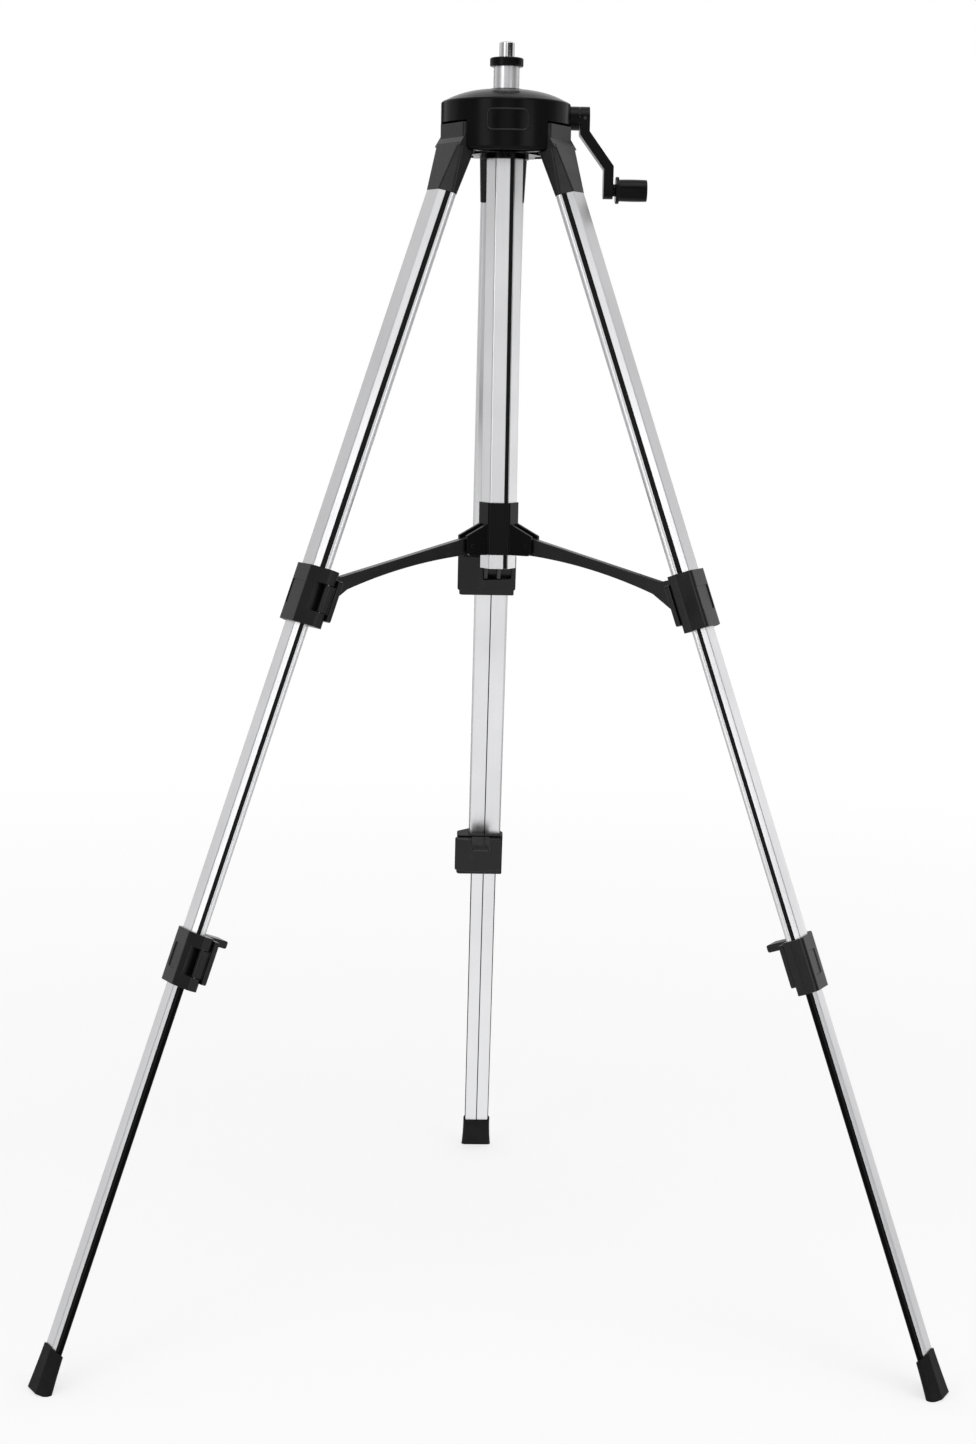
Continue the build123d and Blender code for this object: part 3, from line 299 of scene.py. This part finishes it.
def make_settled_dust():
    """Mask of thin dust on faces that look up, patchy, and thicker near the ground."""
    group, given, out = new_group("settled_dust", {"Amount": 0.2, "Ground Height": 0.12}, ("Mask",))
    place = object_place(group)
    normal = group.nodes.new("ShaderNodeNewGeometry").outputs["Normal"]
    upward = ramp(group, parts_of(group, normal)["Z"], UPWARD_RANGE)
    low = ramp(group, parts_of(group, place)["Z"], (0.0, given["Ground Height"]), 1.0, 0.0)
    patch = ramp(group, noise(group, place, DUST_PATCHES, detail=6.0), DUST_RANGE)
    mask = reckon(group, "MULTIPLY", reckon(group, "MAXIMUM", upward, low), patch)
    group.links.new(reckon(group, "MULTIPLY", mask, given["Amount"]), out["Mask"])
    return group


def make_drawn_lines():
    """Fine lines along a drawn tube, read from the tube's own lengthways coordinates."""
    group, given, out = new_group(
        "drawn_lines",
        {"Fineness": 900.0, "Rough Low": 0.2, "Rough High": 0.3},
        ("Height", "Roughness", "Tone"),
    )
    place = stored(group, "lengthways")["Vector"]
    stretched = new_node(group, "ShaderNodeMapping", Vector=place, Scale=LINE_STRETCH).outputs["Vector"]
    fine = noise(group, stretched, given["Fineness"], detail=3.0)
    broad = noise(group, place, TONE_PATCHES, detail=3.0)
    both = reckon(group, "ADD", fine, broad)
    rough = ramp(group, both, LINE_RANGE, given["Rough Low"], given["Rough High"])
    group.links.new(fine, out["Height"])
    group.links.new(rough, out["Roughness"])
    group.links.new(broad, out["Tone"])
    return group


moulded_grain = make_moulded_grain()
handling_marks = make_handling_marks()
rubbed_edges = make_painted_edge_highlight()
settled_dust = make_settled_dust()
drawn_lines = make_drawn_lines()


# Materials

def new_material(name, metallic, specular):
    """Material with a bare Principled shader, its node tree and the shader."""
    material = bpy.data.materials.new(name)
    material.use_nodes = True
    shader = material.node_tree.nodes["Principled BSDF"]
    shader.inputs["Metallic"].default_value = metallic
    shader.inputs["Specular IOR Level"].default_value = specular
    return material, material.node_tree, shader


def use_group(tree, group, **values):
    """Place a shared node group with this material's own values."""
    node = tree.nodes.new("ShaderNodeGroup")
    node.node_tree = group
    for label, value in values.items():
        node.inputs[label.replace("_", " ")].default_value = value
    return node.outputs


def blend_colour(tree, mask, plain, marked):
    """Colour that changes with a mask; each colour is a triple or a socket."""
    node = tree.nodes.new("ShaderNodeMix")
    node.data_type = "RGBA"
    tree.links.new(mask, node.inputs["Factor"])
    for socket, colour in ((node.inputs[6], plain), (node.inputs[7], marked)):
        if isinstance(colour, bpy.types.NodeSocket):
            tree.links.new(colour, socket)
        else:
            socket.default_value = (*colour, 1.0)
    return node.outputs[2]


def dress(tree, shader, colour, roughness, height, relief):
    """Give a shader its colour and roughness, and its relief from a height."""
    depth, strength = relief
    bump = new_node(tree, "ShaderNodeBump", Strength=strength, Distance=depth, Height=height)
    tree.links.new(colour, shader.inputs["Base Color"])
    tree.links.new(roughness, shader.inputs["Roughness"])
    tree.links.new(bump.outputs["Normal"], shader.inputs["Normal"])


def moulded(name, colour, scuff_and_highlight, grain, rough, specular, dust):
    """Moulded plastic or rubber: grain, rubbed places, a painted highlight on the edges, and dust over one colour.
    """
    material, tree, shader = new_material(name, 0.0, specular)
    surface = use_group(tree, moulded_grain, Grain=grain, Rough_Low=rough[0], Rough_High=rough[1])
    marks = use_group(tree, handling_marks)
    dusty = use_group(tree, settled_dust, Amount=dust)
    # The lighter softened edges are a painted highlight; the handling marks are scuffs
    edges = use_group(tree, rubbed_edges)
    worn = blend_colour(tree, reckon(tree, "MAXIMUM", marks["Mask"], edges["Mask"]), colour, scuff_and_highlight)
    covered = blend_colour(tree, dusty["Mask"], worn, DUST)
    dress(tree, shader, covered, surface["Roughness"], surface["Height"], GRAIN_RELIEF)
    return material


def drawn(name, colour, shaded, fineness, rough):
    """Drawn or turned metal: lengthways lines, slow changes of tone, small scuffs, and on the lower tubes a
    painted dark reflection.
    """
    material, tree, shader = new_material(name, 1.0, 0.5)
    lines = use_group(tree, drawn_lines, Fineness=fineness, Rough_Low=rough[0], Rough_High=rough[1])
    marks = use_group(tree, handling_marks, Size=120.0, Amount=0.3)
    toned = blend_colour(tree, lines["Tone"], colour, shaded)
    worn = blend_colour(tree, marks["Mask"], toned, shaded)
    # Painted dark reflection: the lower tubes' lands turn black
    with_painted_reflection = blend_colour(tree, stored(tree, "black_band")["Fac"], worn, PAINTED_REFLECTION_BLACK)
    dress(tree, shader, with_painted_reflection, lines["Roughness"], lines["Height"], LINE_RELIEF)
    return material


head_plastic = moulded(
    "head_plastic", colour=(0.0025, 0.0025, 0.0027), scuff_and_highlight=(0.025, 0.025, 0.026),
    grain=900.0, rough=(0.2, 0.3), specular=0.09, dust=0.03,
)
lock_plastic = moulded(
    "lock_plastic", colour=(0.006, 0.006, 0.0063), scuff_and_highlight=(0.05, 0.05, 0.0515),
    grain=700.0, rough=(0.22, 0.34), specular=0.25, dust=0.03,
)
foot_rubber = moulded(
    "foot_rubber", colour=(0.004, 0.004, 0.0042), scuff_and_highlight=(0.025, 0.024, 0.0235),
    grain=600.0, rough=(0.5, 0.65), specular=0.12, dust=0.03,
)
stripe_black = moulded(
    "stripe_black", colour=(0.003, 0.003, 0.003), scuff_and_highlight=(0.01, 0.01, 0.01),
    grain=1200.0, rough=(0.4, 0.5), specular=0.1, dust=0.0,
)
bright_tube = drawn(
    "bright_tube", colour=(0.7, 0.7, 0.71), shaded=(0.59, 0.59, 0.6), fineness=900.0, rough=(0.28, 0.38)
)
seam_metal = drawn(
    "seam_metal", colour=(0.05, 0.05, 0.052), shaded=(0.03, 0.03, 0.031), fineness=1200.0, rough=(0.4, 0.55)
)
polished_stud = drawn(
    "polished_stud", colour=(0.7, 0.7, 0.71), shaded=(0.62, 0.62, 0.63), fineness=1500.0, rough=(0.08, 0.14)
)
steel = drawn(
    "steel", colour=(0.5, 0.5, 0.51), shaded=(0.4, 0.4, 0.41), fineness=1500.0, rough=(0.28, 0.4)
)
blacked_steel = drawn(
    "blacked_steel", colour=(0.07, 0.07, 0.072), shaded=(0.04, 0.04, 0.042),
    fineness=1500.0, rough=(0.35, 0.5),
)

SLOT_FINISHES = {
    "black_plastic": head_plastic,
    "black_rubber": foot_rubber,
    "bright_tube": bright_tube,
    "steel": steel,
}
LOCK_PLASTIC_PIECES = ("shoulder", "collar", "lever", "arm")


def finish_of(node):
    """Material of a node: its slot's, or that of the stud, the set screw and the greyer moulded pieces."""
    if node == "stud":
        return polished_stud
    if node == "crank_screw":
        return blacked_steel
    if slots[node] == "black_plastic" and node.endswith(LOCK_PLASTIC_PIECES) and node != "crank_arm":
        return lock_plastic
    return SLOT_FINISHES[slots[node]]


# Finished copies of the solids

def leg_axes(leg):
    """Unit vectors of a spread leg: across (counter-clockwise), outward and down the leg."""
    down = -Vector(joints[f"{leg}_middle_slide"]["axis"])
    across = Vector(joints[f"{leg}_leg_fold"]["axis"])
    return across.normalized(), down.cross(across).normalized(), down.normalized()


def lengthways_axes(node):
    """Axes whose third one runs along a tube or pin."""
    for leg in LEGS:
        if node.startswith(leg):
            return leg_axes(leg)
    if body_of_node[node] in ("crank", "grip") or node == "crank_bush":
        return Vector((0, 1, 0)), Vector((0, 0, 1)), Vector((1, 0, 0))
    return Vector((1, 0, 0)), Vector((0, 1, 0)), Vector((0, 0, 1))


def add_lengthways(mesh, axes):
    """Store each corner's place along and across a tube, for its drawn lines."""
    attribute = mesh.attributes.new("lengthways", "FLOAT_VECTOR", "POINT")
    for vertex in mesh.vertices:
        attribute.data[vertex.index].vector = [vertex.co.dot(axis) for axis in axes]


def add_edge_strips(mesh):
    """Store which faces are softened edges, told by their second material slot, and drop that slot."""
    attribute = mesh.attributes.new("edge_strip", "FLOAT", "FACE")
    for polygon in mesh.polygons:
        attribute.data[polygon.index].value = polygon.material_index
        polygon.material_index = 0
    mesh.materials.pop()


def add_painted_dark_reflection(mesh, leg):
    """Store which faces of a lower tube get a painted dark reflection: the lands between its stripes and its side
    corners.
    """
    across = leg_axes(leg)[0]
    attribute = mesh.attributes.new("black_band", "FLOAT", "FACE")
    for polygon in mesh.polygons:
        attribute.data[polygon.index].value = float(abs(polygon.center.dot(across)) > PAINTED_REFLECTION_START)


def plain_mesh(obj, name):
    """Mesh of an object with its modifiers applied."""
    graph = bpy.context.evaluated_depsgraph_get()
    mesh = bpy.data.meshes.new_from_object(obj.evaluated_get(graph), depsgraph=graph)
    mesh.name = name
    return mesh


def new_object(name, data):
    """Object at the origin, linked to the scene."""
    obj = bpy.data.objects.new(name, data)
    bpy.context.scene.collection.objects.link(obj)
    return obj


def edge_round(node):
    """Radius that softens a node's sharp edges."""
    for ending, size in SOFTER_EDGES.items():
        if node.endswith(ending):
            return size
    return EDGE_ROUND[slots[node]]


def finished_copy(node):
    """Copy of a solid with merged faces, softened edges and its finish. It stands for the CAD node."""
    mesh = frame["nodes"][node].data.copy()
    work = bmesh.new()
    work.from_mesh(mesh)
    bmesh.ops.remove_doubles(work, verts=work.verts, dist=MERGE_DISTANCE)
    bmesh.ops.dissolve_limit(
        work, angle_limit=radians(FLAT_ANGLE), use_dissolve_boundaries=False,
        verts=work.verts, edges=work.edges,
    )
    work.to_mesh(mesh)
    work.free()
    # The second slot holds the same finish and marks the softened edges.
    mesh.materials.clear()
    mesh.materials.append(finish_of(node))
    mesh.materials.append(finish_of(node))
    piece = new_object(f"{node}_look", mesh)
    for polygon in mesh.polygons:
        polygon.use_smooth = True
    mesh.set_sharp_from_angle(angle=radians(SHARP_ANGLE))
    bevel = piece.modifiers.new("edges", "BEVEL")
    bevel.width = edge_round(node)
    bevel.segments = EDGE_STEPS
    bevel.material = EDGE_SLOT
    bevel.limit_method = "ANGLE"
    bevel.angle_limit = radians(SHARP_ANGLE)
    weighted = piece.modifiers.new("normals", "WEIGHTED_NORMAL")
    weighted.keep_sharp = True
    piece.data = plain_mesh(piece, f"{node}_look")
    piece.modifiers.clear()
    add_edge_strips(piece.data)
    add_lengthways(piece.data, lengthways_axes(node))
    # Lower tubes get a painted dark reflection on the lands beside their stripes
    if node.endswith("_lower_tube"):
        add_painted_dark_reflection(piece.data, node.removesuffix("_lower_tube"))
    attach(piece, body_of_node[node])
    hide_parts(node)


for node in slots:
    finished_copy(node)


# Geometry node trees

def new_tree(name, inputs, output):
    """Empty geometry node tree, and its inputs of the given kinds."""
    tree = bpy.data.node_groups.new(name, "GeometryNodeTree")
    for label, kind in inputs.items():
        tree.interface.new_socket(label, in_out="INPUT", socket_type=f"NodeSocket{kind}")
    tree.interface.new_socket(output, in_out="OUTPUT", socket_type="NodeSocketGeometry")
    return tree, tree.nodes.new("NodeGroupInput").outputs


def end_tree(tree, geometry, finish):
    """Make a tree's geometry whole, give it its finish and put it out."""
    whole = new_node(tree, "GeometryNodeRealizeInstances", Geometry=geometry)
    painted = new_node(tree, "GeometryNodeSetMaterial", Geometry=whole.outputs[0], Material=finish)
    tree.links.new(painted.outputs[0], tree.nodes.new("NodeGroupOutput").inputs[0])


def point_place(tree):
    """The three values of each point's position."""
    return parts_of(tree, tree.nodes.new("GeometryNodeInputPosition").outputs[0])


def moved(tree, geometry, shift, turn):
    """Geometry turned about the origin and then shifted."""
    rotation = new_node(tree, "FunctionNodeEulerToRotation", Euler=turn).outputs[0]
    node = new_node(tree, "GeometryNodeTransform", Geometry=geometry, Translation=shift, Rotation=rotation)
    return node.outputs[0]


def made_piece(name, tree, **values):
    """Plain mesh object made by a node tree with the given inputs."""
    piece = new_object(name, bpy.data.meshes.new(name))
    modifier = piece.modifiers.new("made", "NODES")
    modifier.node_group = tree
    for socket in tree.interface.items_tree:
        if socket.in_out == "INPUT":
            modifier[socket.identifier] = values[socket.name.replace(" ", "_")]
    bpy.context.view_layer.update()
    piece.data = plain_mesh(piece, name)
    piece.modifiers.clear()
    piece.data.materials.clear()
    piece.data.materials.append(values["Finish"])
    for polygon in piece.data.polygons:
        polygon.material_index = 0
    return piece


# Stripes let into the tubes

def make_stripe_tree():
    """Flat strip with a crowned face along a tube, on one slanted side of it or on both."""
    tree, given = new_tree(
        "tube_stripes",
        {
            "Length": "Float", "Width": "Float", "Thickness": "Float", "Crown": "Float",
            "Aside": "Float", "Forward": "Float", "Along": "Float", "Slant": "Float",
            "Both Sides": "Bool", "Tube Place": "Vector", "Tube Turn": "Vector", "Finish": "Material",
        },
        "Stripes",
    )
    size = vector_of(tree, given["Width"], given["Thickness"], given["Length"])
    bar = new_node(tree, "GeometryNodeMeshCube", Size=size, Vertices_X=STRIPE_COLUMNS)
    place = point_place(tree)
    across = reckon(tree, "DIVIDE", place["X"], reckon(tree, "MULTIPLY", given["Width"], 0.5))
    fall = reckon(tree, "SUBTRACT", 1.0, reckon(tree, "MULTIPLY", across, across))
    front = reckon(tree, "GREATER_THAN", place["Y"], 0.0)
    rise = reckon(tree, "MULTIPLY", reckon(tree, "MULTIPLY", fall, front), given["Crown"])
    strip = new_node(
        tree, "GeometryNodeSetPosition", Geometry=bar.outputs["Mesh"], Offset=vector_of(tree, y=rise)
    ).outputs[0]

    def on_side(sign):
        """The strip on the right side of the tube, or with -1 on the left."""
        aside = reckon(tree, "MULTIPLY", given["Aside"], sign)
        shift = vector_of(tree, aside, given["Forward"], given["Along"])
        lean = vector_of(tree, z=reckon(tree, "MULTIPLY", given["Slant"], -sign))
        return moved(tree, strip, shift, lean)

    other = tree.nodes.new("GeometryNodeSwitch")
    other.input_type = "GEOMETRY"
    tree.links.new(given["Both Sides"], other.inputs["Switch"])
    tree.links.new(on_side(-1.0), other.inputs["True"])
    pair = tree.nodes.new("GeometryNodeJoinGeometry")
    tree.links.new(on_side(1.0), pair.inputs[0])
    tree.links.new(other.outputs[0], pair.inputs[0])
    placed = moved(tree, pair.outputs[0], given["Tube Place"], given["Tube Turn"])
    end_tree(tree, placed, given["Finish"])
    return tree


stripe_tree = make_stripe_tree()


def stripes(name, body, axes, origin, ends, middle, slant, width, depth, both, finish):
    """Stripe or pair of stripes in a tube's grooves. The middle of a groove is given across and outward."""
    thickness = depth - STRIPE_CROWN
    drop = depth + STRIPE_SINK - thickness / 2
    piece = made_piece(
        name, stripe_tree, Length=ends[1] - ends[0] - 2 * STRIPE_GAP, Width=width - STRIPE_GAP,
        Thickness=thickness, Crown=STRIPE_CROWN, Aside=middle[0] - drop * sin(slant),
        Forward=middle[1] - drop * cos(slant), Along=(ends[0] + ends[1]) / 2, Slant=slant, Both_Sides=both,
        Tube_Place=origin, Tube_Turn=Matrix(axes).transposed().to_euler(), Finish=finish,
    )
    add_lengthways(piece.data, axes)
    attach(piece, body)


for leg in LEGS:
    leg_frame = leg_axes(leg)
    outward = Vector((leg_frame[1].x, leg_frame[1].y, 0)).normalized()
    hip = outward * LEG_AXIS_RADIUS + Vector((0, 0, HIP_HEIGHT))
    for tube, (member, ends, side, nose, inset, width) in TUBE_GROOVES.items():
        body = f"{leg}_{member}"
        span = (ends[0] * MM, ends[1] * MM)
        run = (nose[0] - side[0], nose[1] - side[1])
        reach = (inset + width / 2) / hypot(*run)
        groove = ((side[0] + reach * run[0]) * MM, (side[1] + reach * run[1]) * MM)
        stripes(
            f"{leg}_{tube}_stripes", body, leg_frame, hip, span, middle=groove, slant=atan2(run[1], -run[0]),
            width=width * MM, depth=STRIPE_DEPTH, both=True, finish=stripe_black,
        )
        stripes(
            f"{leg}_{tube}_seam", body, leg_frame, hip, span, middle=(0.0, -nose[1] * MM), slant=pi,
            width=SEAM_WIDTH, depth=SEAM_DEPTH, both=False, finish=seam_metal,
        )

hex_ends, hex_front, hex_aside, hex_width = HEX_GROOVE
hex_frame = (Vector((1, 0, 0)), Vector((0, -1, 0)), Vector((0, 0, -1)))
hex_span = (hex_ends[0] * MM, hex_ends[1] * MM)
stripes(
    "centre_tube_stripe", "head", hex_frame, Vector((0, 0, HIP_HEIGHT)), hex_span,
    middle=(hex_aside * MM, hex_front * MM), slant=0.0, width=hex_width * MM, depth=STRIPE_DEPTH,
    both=False, finish=stripe_black,
)


# Raised bead round the bare badge

def make_bead_tree():
    """Bead along a rounded oblong that is wrapped round the crown's front."""
    tree, given = new_tree(
        "badge_bead",
        {
            "Width": "Float", "Height": "Float", "Corner": "Float", "Crown Radius": "Float",
            "Middle": "Float", "Bead Radius": "Float", "Finish": "Material",
        },
        "Bead",
    )
    oblong = new_node(
        tree, "GeometryNodeCurvePrimitiveQuadrilateral", Width=given["Width"], Height=given["Height"]
    )
    rounded = tree.nodes.new("GeometryNodeFilletCurve")
    rounded.mode = "POLY"
    rounded.inputs["Count"].default_value = BEAD_CORNER_STEPS
    tree.links.new(oblong.outputs[0], rounded.inputs["Curve"])
    tree.links.new(given["Corner"], rounded.inputs["Radius"])
    path = new_node(tree, "GeometryNodeResampleCurve", Curve=rounded.outputs[0], Count=BEAD_PATH_POINTS)
    place = point_place(tree)
    angle = reckon(tree, "DIVIDE", place["X"], given["Crown Radius"])
    forward = reckon(tree, "MULTIPLY", given["Crown Radius"], -1.0)
    wrapped = vector_of(
        tree,
        reckon(tree, "MULTIPLY", reckon(tree, "SINE", angle), given["Crown Radius"]),
        reckon(tree, "MULTIPLY", reckon(tree, "COSINE", angle), forward),
        reckon(tree, "ADD", place["Y"], given["Middle"]),
    )
    laid = new_node(tree, "GeometryNodeSetPosition", Geometry=path.outputs[0], Position=wrapped)
    ring = new_node(
        tree, "GeometryNodeCurvePrimitiveCircle", Resolution=BEAD_RING_POINTS, Radius=given["Bead Radius"]
    )
    bead = new_node(tree, "GeometryNodeCurveToMesh", Curve=laid.outputs[0], Profile_Curve=ring.outputs[0])
    smooth = new_node(tree, "GeometryNodeSetShadeSmooth", Geometry=bead.outputs[0])
    end_tree(tree, smooth.outputs[0], given["Finish"])
    return tree


badge_low, badge_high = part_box("badge_plate")
# The bead's greyer lock plastic is a painted highlight along the badge's rim
badge_bead = made_piece(
    "badge_bead", make_bead_tree(), Width=BEAD_WIDTH, Height=BEAD_HEIGHT, Corner=BEAD_CORNER,
    Crown_Radius=CROWN_RADIUS, Middle=(badge_low.z + badge_high.z) / 2, Bead_Radius=BEAD_RADIUS,
    Finish=lock_plastic,
)
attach(badge_bead, "head")


# Studio

def stage_plane(name, corners, material):
    """Flat four-cornered plane that isn't part of the object."""
    mesh = bpy.data.meshes.new(name)
    mesh.from_pydata(corners, [], [(0, 1, 2, 3)])
    mesh.materials.append(material)
    plane = new_object(name, mesh)
    return plane


def level_corners(low, high, height):
    """Corners of an oblong that lies level between two places."""
    return [(*low, height), (high[0], low[1], height), (*high, height), (low[0], high[1], height)]


def glossy_card(name, corners, tone):
    """Card of an even tone that only shows in reflections."""
    paint, _, shader = new_material(name, 0.0, 0.0)
    shader.inputs["Base Color"].default_value = BLACK
    shader.inputs["Emission Color"].default_value = WHITE
    shader.inputs["Emission Strength"].default_value = tone
    plane = stage_plane(name, corners, paint)
    plane.visible_camera = False
    plane.visible_diffuse = False
    plane.visible_shadow = False
    plane.visible_transmission = False


def upright_card(name, first, second, heights, tone):
    """Card that stands between two places over the floor."""
    low, high = heights
    glossy_card(name, [(*first, low), (*second, low), (*second, high), (*first, high)], tone)


def soft_box(name, place, aim, width, height, power):
    """Oblong area lamp pointed at a place."""
    data = bpy.data.lights.new(name, "AREA")
    data.shape = "RECTANGLE"
    data.size = width
    data.size_y = height
    data.energy = power
    lamp = new_object(name, data)
    lamp.location = place
    lamp.rotation_euler = (Vector(aim) - Vector(place)).to_track_quat("-Z", "Y").to_euler()
    lamp.visible_camera = False


def seen_rays(tree):
    """1 for rays that show the background: from the camera, a mirror or glass."""
    rays = tree.nodes.new("ShaderNodeLightPath").outputs
    seen = reckon(tree, "MAXIMUM", rays["Is Camera Ray"], rays["Is Glossy Ray"])
    return reckon(tree, "MAXIMUM", seen, rays["Is Transmission Ray"])


floor_paint, floor_tree, floor_shader = new_material("floor_paint", 0.0, 0.0)
floor_shader.inputs["Base Color"].default_value = FLOOR_GREY
floor_shader.inputs["Roughness"].default_value = FLOOR_ROUGHNESS
floor_shader.inputs["Emission Color"].default_value = WHITE
floor_away = floor_tree.nodes.new("ShaderNodeVectorMath")
floor_away.operation = "LENGTH"
floor_tree.links.new(object_place(floor_tree), floor_away.inputs[0])
floor_glow = ramp(floor_tree, floor_away.outputs["Value"], GLOW_DISTANCES, *GLOW_TONES)
floor_glow = reckon(floor_tree, "MULTIPLY", floor_glow, seen_rays(floor_tree))
floor_tree.links.new(floor_glow, floor_shader.inputs["Emission Strength"])
floor_corners = level_corners((-FLOOR_REACH, -FLOOR_REACH), (FLOOR_REACH, FLOOR_REACH), 0.0)
stage_plane("floor", floor_corners, floor_paint)

for name, first, second, heights, tone in PAIRED_CARDS:
    for side, sign in (("left", 1), ("right", -1)):
        near, far = (sign * first[0], first[1]), (sign * second[0], second[1])
        upright_card(f"{side}_{name}", near, far, heights, tone)
for card in SINGLE_CARDS:
    upright_card(*card)
for name, low, high, tone in FLOOR_BOARDS:
    glossy_card(name, level_corners(low, high, BOARD_LIFT), tone)
for box in SOFT_BOXES:
    soft_box(*box)

world = bpy.data.worlds.new("studio")
bpy.context.scene.world = world
world.use_nodes = True
sky = world.node_tree
background = sky.nodes["Background"]
background.inputs["Color"].default_value = WHITE
sky.links.new(ramp(sky, seen_rays(sky), (0.0, 1.0), SKY_LIGHT, SKY_SEEN), background.inputs["Strength"])


# Camera

camera_data = bpy.data.cameras.new("camera")
camera_data.sensor_fit = "VERTICAL"
camera_data.sensor_height = SENSOR
camera_data.lens = SENSOR * FOCAL_PIXELS / PICTURE_HEIGHT
camera = new_object("camera", camera_data)
pitch, yaw, roll = radians(CAMERA_PITCH), radians(CAMERA_YAW), radians(CAMERA_ROLL)
ahead = Vector((sin(yaw) * cos(pitch), cos(yaw) * cos(pitch), -sin(pitch)))
level = Vector((cos(yaw), -sin(yaw), 0.0))
above = level.cross(ahead)
right = level * cos(roll) + above * sin(roll)
up = above * cos(roll) - level * sin(roll)
turn = Matrix.Rotation(radians(-TRIPOD_TURN), 4, "Z")
axes = Matrix((right, up, -ahead)).transposed().to_4x4()
camera.matrix_world = turn @ Matrix.Translation((CAMERA_ASIDE, -CAMERA_AWAY, CAMERA_HEIGHT)) @ axes
bpy.context.scene.camera = camera

bpy.context.scene.view_settings.view_transform = "Standard"
